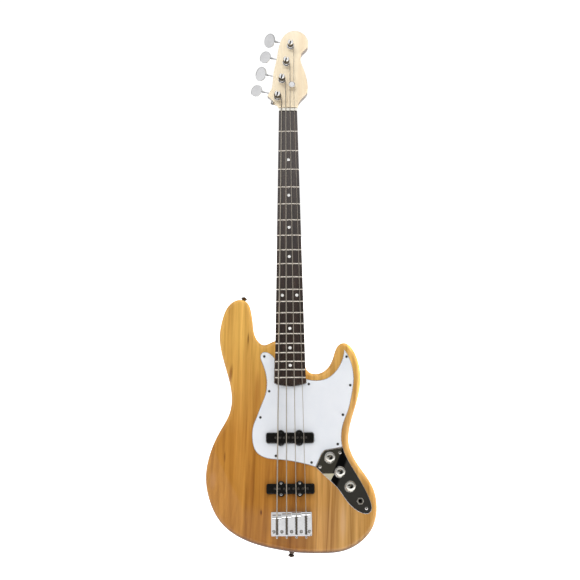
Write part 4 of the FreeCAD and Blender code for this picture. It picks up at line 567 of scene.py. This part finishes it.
# Strings, in millimetres on the instrument laid flat.
GAUGE = {"e": 2.67, "a": 2.16, "d": 1.65, "g": 1.14}
WRAPS = {"e": 2, "a": 2.5, "d": 3, "g": 3.5}
NUT_Y, SCALE, SADDLE_Y = 933.6, 863.6, 70.0
SPREAD_BRIDGE, SPREAD_NUT = 19.0, 9.4
CREST_Y, CREST_STEP, CREST_HEIGHT = 66, 2, 13.45
WALL_Y, WALL_HEIGHT = 27.6, 13.9
PAST_NUT_Y, PAST_NUT_HEIGHT = 939.6, 11.46
# Tuner posts: the first one's place, their distance along a slanted row, and the turns of string on them.
POST_X, POST_PAST_NUT, POST_GAP, POST_SLANT = -22.7, 39.5, 43, math.radians(13.3)
POST_RADIUS, WRAP_LOW, WRAP_GAP, WRAP_STEPS = 5.3, 2.2, 0.45, 32
# The string tree holds the d and g strings down on each side of its screw.
TREE_X, TREE_Y, TREE_HALF, TREE_UNDER = 9.2, 992.6, 3.2, 4.25
# Metres: bends of a string, its straight run onto the post, and the spacing of its points.
BEND, ONTO_POST, LONG_STEP, SHORT_STEP = 0.006, 0.014, 0.012, 0.003
STRING_SIDES = 14
# Ball end: radius and y from its middle, in metres.
BALL = ((0.0011, -0.0022), (0.0019, -0.0024), (0.0023, -0.0018), (0.0021, -0.0009), (0.0021, 0.0009),
        (0.0023, 0.0018), (0.0019, 0.0024), (0.0011, 0.0022))
BALL_SIDES = 24
# Springs between the bridge wall and the saddles.
SPRING_START, SADDLE_HALF, COIL_RADIUS, COIL_WIRE, SCREW_HEIGHT = 32.5, 5, 2.5, 0.5, 8.8
COIL_TURNS, COIL_STEPS, COIL_SIDES = 11, 24, 10


def string_x(index, y):
    """Sideways place of a string along the neck, in millimetres."""
    return (index - 1.5) * (SPREAD_BRIDGE + (y - SADDLE_Y) / SCALE * (SPREAD_NUT - SPREAD_BRIDGE))


def string_line(index, letter, crest, past_nut):
    """Points of a string from its saddle to its last turn on the post, and its length before the turns."""
    wire = GAUGE[letter] / 2
    corners = [crest, past_nut]
    last_x, last_y = string_x(index, PAST_NUT_Y), PAST_NUT_Y
    if letter in "dg":
        way = -1 if letter == "d" else 1
        last_x, last_y = TREE_X + way * (TREE_HALF + wire), TREE_Y
        corners.append(row(last_x, last_y, TREE_UNDER - wire))
    post_x = POST_X + POST_GAP * index * math.sin(POST_SLANT)
    post_y = NUT_Y + POST_PAST_NUT + POST_GAP * index * math.cos(POST_SLANT)
    radius = POST_RADIUS + wire
    away = math.hypot(last_x - post_x, last_y - post_y)
    begin = math.atan2(last_y - post_y, last_x - post_x) + math.acos(radius / away)
    lead = 2 * wire + WRAP_GAP
    wraps = []
    for k in range(int(WRAPS[letter] * WRAP_STEPS) + 1):
        angle = begin + 2 * math.pi * k / WRAP_STEPS
        wraps.append(row(post_x + radius * math.cos(angle), post_y + radius * math.sin(angle),
                         WRAP_LOW + wire + lead * k / WRAP_STEPS))
    touch = wraps[0]
    corners += [touch - (wraps[1] - touch).normalized() * ONTO_POST, touch]
    line = rounded_line(corners, BEND, LONG_STEP)
    plain_length = sum((b - a).length for a, b in zip(line, line[1:]))
    return line + wraps[1:], plain_length


for i, letter in enumerate(LETTERS):
    wire = GAUGE[letter] / 2
    bridge_x = (i - 1.5) * SPREAD_BRIDGE
    crest_y = CREST_Y + CREST_STEP * i
    crest = row(bridge_x, crest_y, CREST_HEIGHT + wire)
    wall = row(bridge_x, WALL_Y, WALL_HEIGHT)
    past_nut = row(string_x(i, PAST_NUT_Y), PAST_NUT_Y, PAST_NUT_HEIGHT + wire)
    line, plain_length = string_line(i, letter, crest, past_nut)
    pitch = 0.00032 + 0.00008 * wire
    finish = wound("string_steel_" + letter, pitch, plain_length)
    # The tail behind the saddle is darker all along: painted shade.
    painted_shade = wound("string_tail_" + letter, pitch, 0.0)
    front = tube("string_%s_length" % letter, line, wire / 1000, STRING_SIDES, finish)
    rear = tube("string_%s_tail" % letter, rounded_line([wall, crest], BEND, SHORT_STEP), wire / 1000, STRING_SIDES,
                painted_shade)
    for piece in (front, rear):
        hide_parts("string_" + letter)
    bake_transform(front)
    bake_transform(rear)

    ball = turned("string_%s_ball" % letter, wall, BALL, BALL_SIDES, steel)
    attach(ball, "instrument")

    near = SPRING_START + COIL_WIRE
    far = crest_y - SADDLE_HALF - COIL_WIRE
    coil = []
    for k in range(COIL_TURNS * COIL_STEPS + 1):
        angle = 2 * math.pi * k / COIL_STEPS
        coil.append(row(bridge_x + COIL_RADIUS * math.cos(angle), near + (far - near) * k / (COIL_TURNS * COIL_STEPS),
                        SCREW_HEIGHT - COIL_RADIUS * math.sin(angle)))
    spring = tube("spring_%s_coil" % letter, coil, COIL_WIRE / 1000, COIL_SIDES, shaded_spring_metal)
    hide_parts("saddle_spring_" + letter)
    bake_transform(spring)


# Domed crowns of the knobs, in millimetres: a foot inside the knob, then a rounded dome.
CROWN_FOOT = (10.2, 10.7)
CROWN_RADIUS, CROWN_START, CROWN_RISE, CROWN_POWER = 10.6, 11.0, 8.6, 2.9
CROWN_STEPS, CROWN_SIDES = 25, 64
dome = [CROWN_FOOT]
for k in range(CROWN_STEPS):
    reach = CROWN_RADIUS * math.cos(math.pi / 2 * k / CROWN_STEPS)
    rise = CROWN_RISE * (1 - (reach / CROWN_RADIUS) ** CROWN_POWER) ** (1 / CROWN_POWER)
    dome.append((reach, CROWN_START + rise))
dome = [(reach / 1000, (-FACE - ahead) / 1000) for reach, ahead in dome]
for name in KNOBS:
    low_corner, high_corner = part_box("knob_" + name)
    centre = Vector(((low_corner[0] + high_corner[0]) / 2, 0, (low_corner[2] + high_corner[2]) / 2))
    crown = turned("knob_%s_crown" % name, centre, dome, CROWN_SIDES, knob_metal,
                   tip=(-FACE - CROWN_START - CROWN_RISE) / 1000)
    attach(crown, "control_" + name)


# Stage: a seamless pale floor and soft lights, in metres.
FLOOR_DROP, FLOOR_FRONT, FLOOR_HALF = 0.35, -1.2, 14.0
CURVE_START, CURVE_RADIUS = 3.0, 3.0
# The floor's glow grows from its least to 1 over one metre, which starts this far behind the instrument.
GLOW_START, GLOW_LEAST = 0.3, 0.3


def sweep(finish):
    """A floor that curves up behind the instrument."""
    shape = bmesh.new()
    profile = [(FLOOR_FRONT, 0.0), (0.5, 0.0), (CURVE_START, 0.0)]
    for degrees in range(10, 91, 10):
        angle = math.radians(degrees)
        profile.append((CURVE_START + CURVE_RADIUS * math.sin(angle), CURVE_RADIUS - CURVE_RADIUS * math.cos(angle)))
    lines = [[shape.verts.new((x, y, z)) for x in (-FLOOR_HALF, FLOOR_HALF)] for y, z in profile]
    for a, b in zip(lines, lines[1:]):
        shape.faces.new((a[0], a[1], b[1], b[0])).smooth = True
    made = new_piece("sweep", shape, finish)
    made.location.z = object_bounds()[0][2] - FLOOR_DROP
    return made


pale, tree, shader = material("pale_floor", Roughness=0.9, Base_Color=grey(0.8), Emission_Color=grey(1.0))
behind = maths(tree, "SUBTRACT", coordinate(tree, "Y"), GLOW_START)
wire_up(tree, shader, Emission_Strength=ramp(tree, behind, [(0.0, grey(GLOW_LEAST)), (1.0, grey(1.0))]))
floor = sweep(pale)
floor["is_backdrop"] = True

# The room that the metal mirrors, by direction: pale all round, darker above and behind, and mostly dark straight in
# front, where the flat control plate looks. That dark part has a black slanted band, a small pale card, a pale patch
# low on the bass side, a dim strip and a warm glint. Higher up it turns pale again, which the fingerboard mirrors.
BAND_LEAN = 0.4
CARD_RISE, CARD_SIDE, CARD_LEAN, CARD_EDGE = (0.059, 0.0690), 0.03, 0.56, 0.0063
GLINT_PLACE, GLINT_HALF = (0.06, 0.138), (0.06, 0.027)
ROOM_STRENGTH = 1.06
world = bpy.data.worlds.new("studio")
scene.world = world
world.use_nodes = True
sky = world.node_tree
backdrop = next(n for n in sky.nodes if n.type == "BACKGROUND")
toward = put(sky, "ShaderNodeSeparateXYZ", {"Vector": put(sky, "ShaderNodeTexCoord").outputs["Generated"]}).outputs
side, rise = toward["X"], toward["Z"]
ahead = maths(sky, "MULTIPLY", toward["Y"], -1.0)

band = maths(sky, "MULTIPLY", leaning(sky, side, rise, BAND_LEAN), 10.0)
dim = ramp(sky, band, [(0.150, (0.050, 0.046, 0.036)), (0.162, grey(0.004)), (0.240, grey(0.004)),
                       (0.262, (0.040, 0.038, 0.034))])
card = product(sky, maths(sky, "GREATER_THAN", rise, CARD_RISE[0]), maths(sky, "LESS_THAN", rise, CARD_RISE[1]),
               maths(sky, "GREATER_THAN", side, CARD_SIDE),
               maths(sky, "LESS_THAN", leaning(sky, side, rise, CARD_LEAN), CARD_EDGE))
dim = mix(sky, card, dim, (0.58, 0.53, 0.39))
low = product(sky, ramp(sky, maths(sky, "MULTIPLY_ADD", rise, 2.0, 0.2), [(0.258, grey(1.0)), (0.274, grey(0.0))]),
              ramp(sky, maths(sky, "MULTIPLY", side, 5.0), [(0.20, grey(1.0)), (0.23, grey(0.0))]))
dim = mix(sky, low, dim, grey(0.85))
under = ramp(sky, maths(sky, "MULTIPLY_ADD", rise, 4.0, 0.2), [(0.10, grey(1.0)), (0.16, grey(0.0))])
shade = ramp(sky, maths(sky, "MULTIPLY", side, -5.0), [(0.35, grey(0.01)), (0.6, grey(0.75))])
dim = mix(sky, under, dim, shade)
strip = ramp(sky, maths(sky, "MULTIPLY", rise, 4.0), [(0.43, grey(0.0)), (0.47, grey(1.0)), (0.64, grey(0.8)),
                                                      (0.72, grey(0.0))])
dim = mix(sky, strip, dim, grey(0.12))
glint = from_centre(sky, maths(sky, "SUBTRACT", side, GLINT_PLACE[0]), maths(sky, "SUBTRACT", rise, GLINT_PLACE[1]),
                    *GLINT_HALF)
dim = mix(sky, ramp(sky, glint, [(0.3, grey(1.0)), (1.0, grey(0.0))]), dim, (1.5, 1.12, 0.85))
sheen = ramp(sky, rise, [(0.24, grey(0.02)), (0.38, grey(0.8)), (0.47, grey(0.95))])
front = mix(sky, ramp(sky, rise, [(0.20, grey(0.0)), (0.26, grey(1.0))]), dim, sheen)

above = product(sky, ramp(sky, rise, [(0.2, grey(0.0)), (0.35, grey(1.0))]),
                ramp(sky, ahead, [(0.25, grey(1.0)), (0.45, grey(0.0))]))
around = mix(sky, above, grey(0.78), grey(0.22))
room = mix(sky, ramp(sky, ahead, [(0.72, grey(0.0)), (0.92, grey(1.0))]), around, front)
# The camera itself sees plain white.
seen = put(sky, "ShaderNodeLightPath").outputs["Is Camera Ray"]
sky.links.new(mix(sky, seen, room, grey(1.0)), backdrop.inputs["Color"])
backdrop.inputs["Strength"].default_value = ROOM_STRENGTH


def soft_light(name, place, aim, size, power):
    """A soft box aimed at a point, not mirrored by the metal."""
    lamp = bpy.data.lights.new(name, "AREA")
    lamp.shape = "RECTANGLE"
    lamp.size, lamp.size_y = size
    lamp.energy = power
    made = bpy.data.objects.new(name, lamp)
    made.location = place
    made.rotation_euler = (Vector(aim) - Vector(place)).to_track_quat("-Z", "Y").to_euler()
    made.visible_glossy = False
    made.visible_camera = False
    scene.collection.objects.link(made)


soft_light("key", (-0.45, -1.45, 2.15), (0, 0, 0.7), (1.5, 1.0), 21.5)
soft_light("side", (1.9, -0.9, 1.2), (0, 0, 0.4), (0.8, 1.6), 5)
soft_light("rim", (1.5, 0.15, 1.7), (0.05, 0, 0.3), (0.5, 1.2), 85)
soft_light("edge", (-1.4, 0.1, 1.9), (-0.1, 0, 0.4), (0.5, 1.0), 16)

# Camera at the photograph's low viewpoint, tilted up and turned slightly.
CAMERA_PLACE, CAMERA_TILT, CAMERA_ROLL = (0.001, -1.910, 0.019), 15.1, -0.5
lens = bpy.data.cameras.new("camera")
lens.sensor_width = 36
lens.lens = 57.97
lens.clip_start = 0.01
eye = bpy.data.objects.new("camera", lens)
tilt = Matrix.Rotation(math.radians(90 + CAMERA_TILT), 4, "X")
roll = Matrix.Rotation(math.radians(CAMERA_ROLL), 4, "Z")
eye.matrix_world = Matrix.Translation(CAMERA_PLACE) @ tilt @ roll
scene.collection.objects.link(eye)
scene.camera = eye
scene.view_settings.view_transform = "Standard"
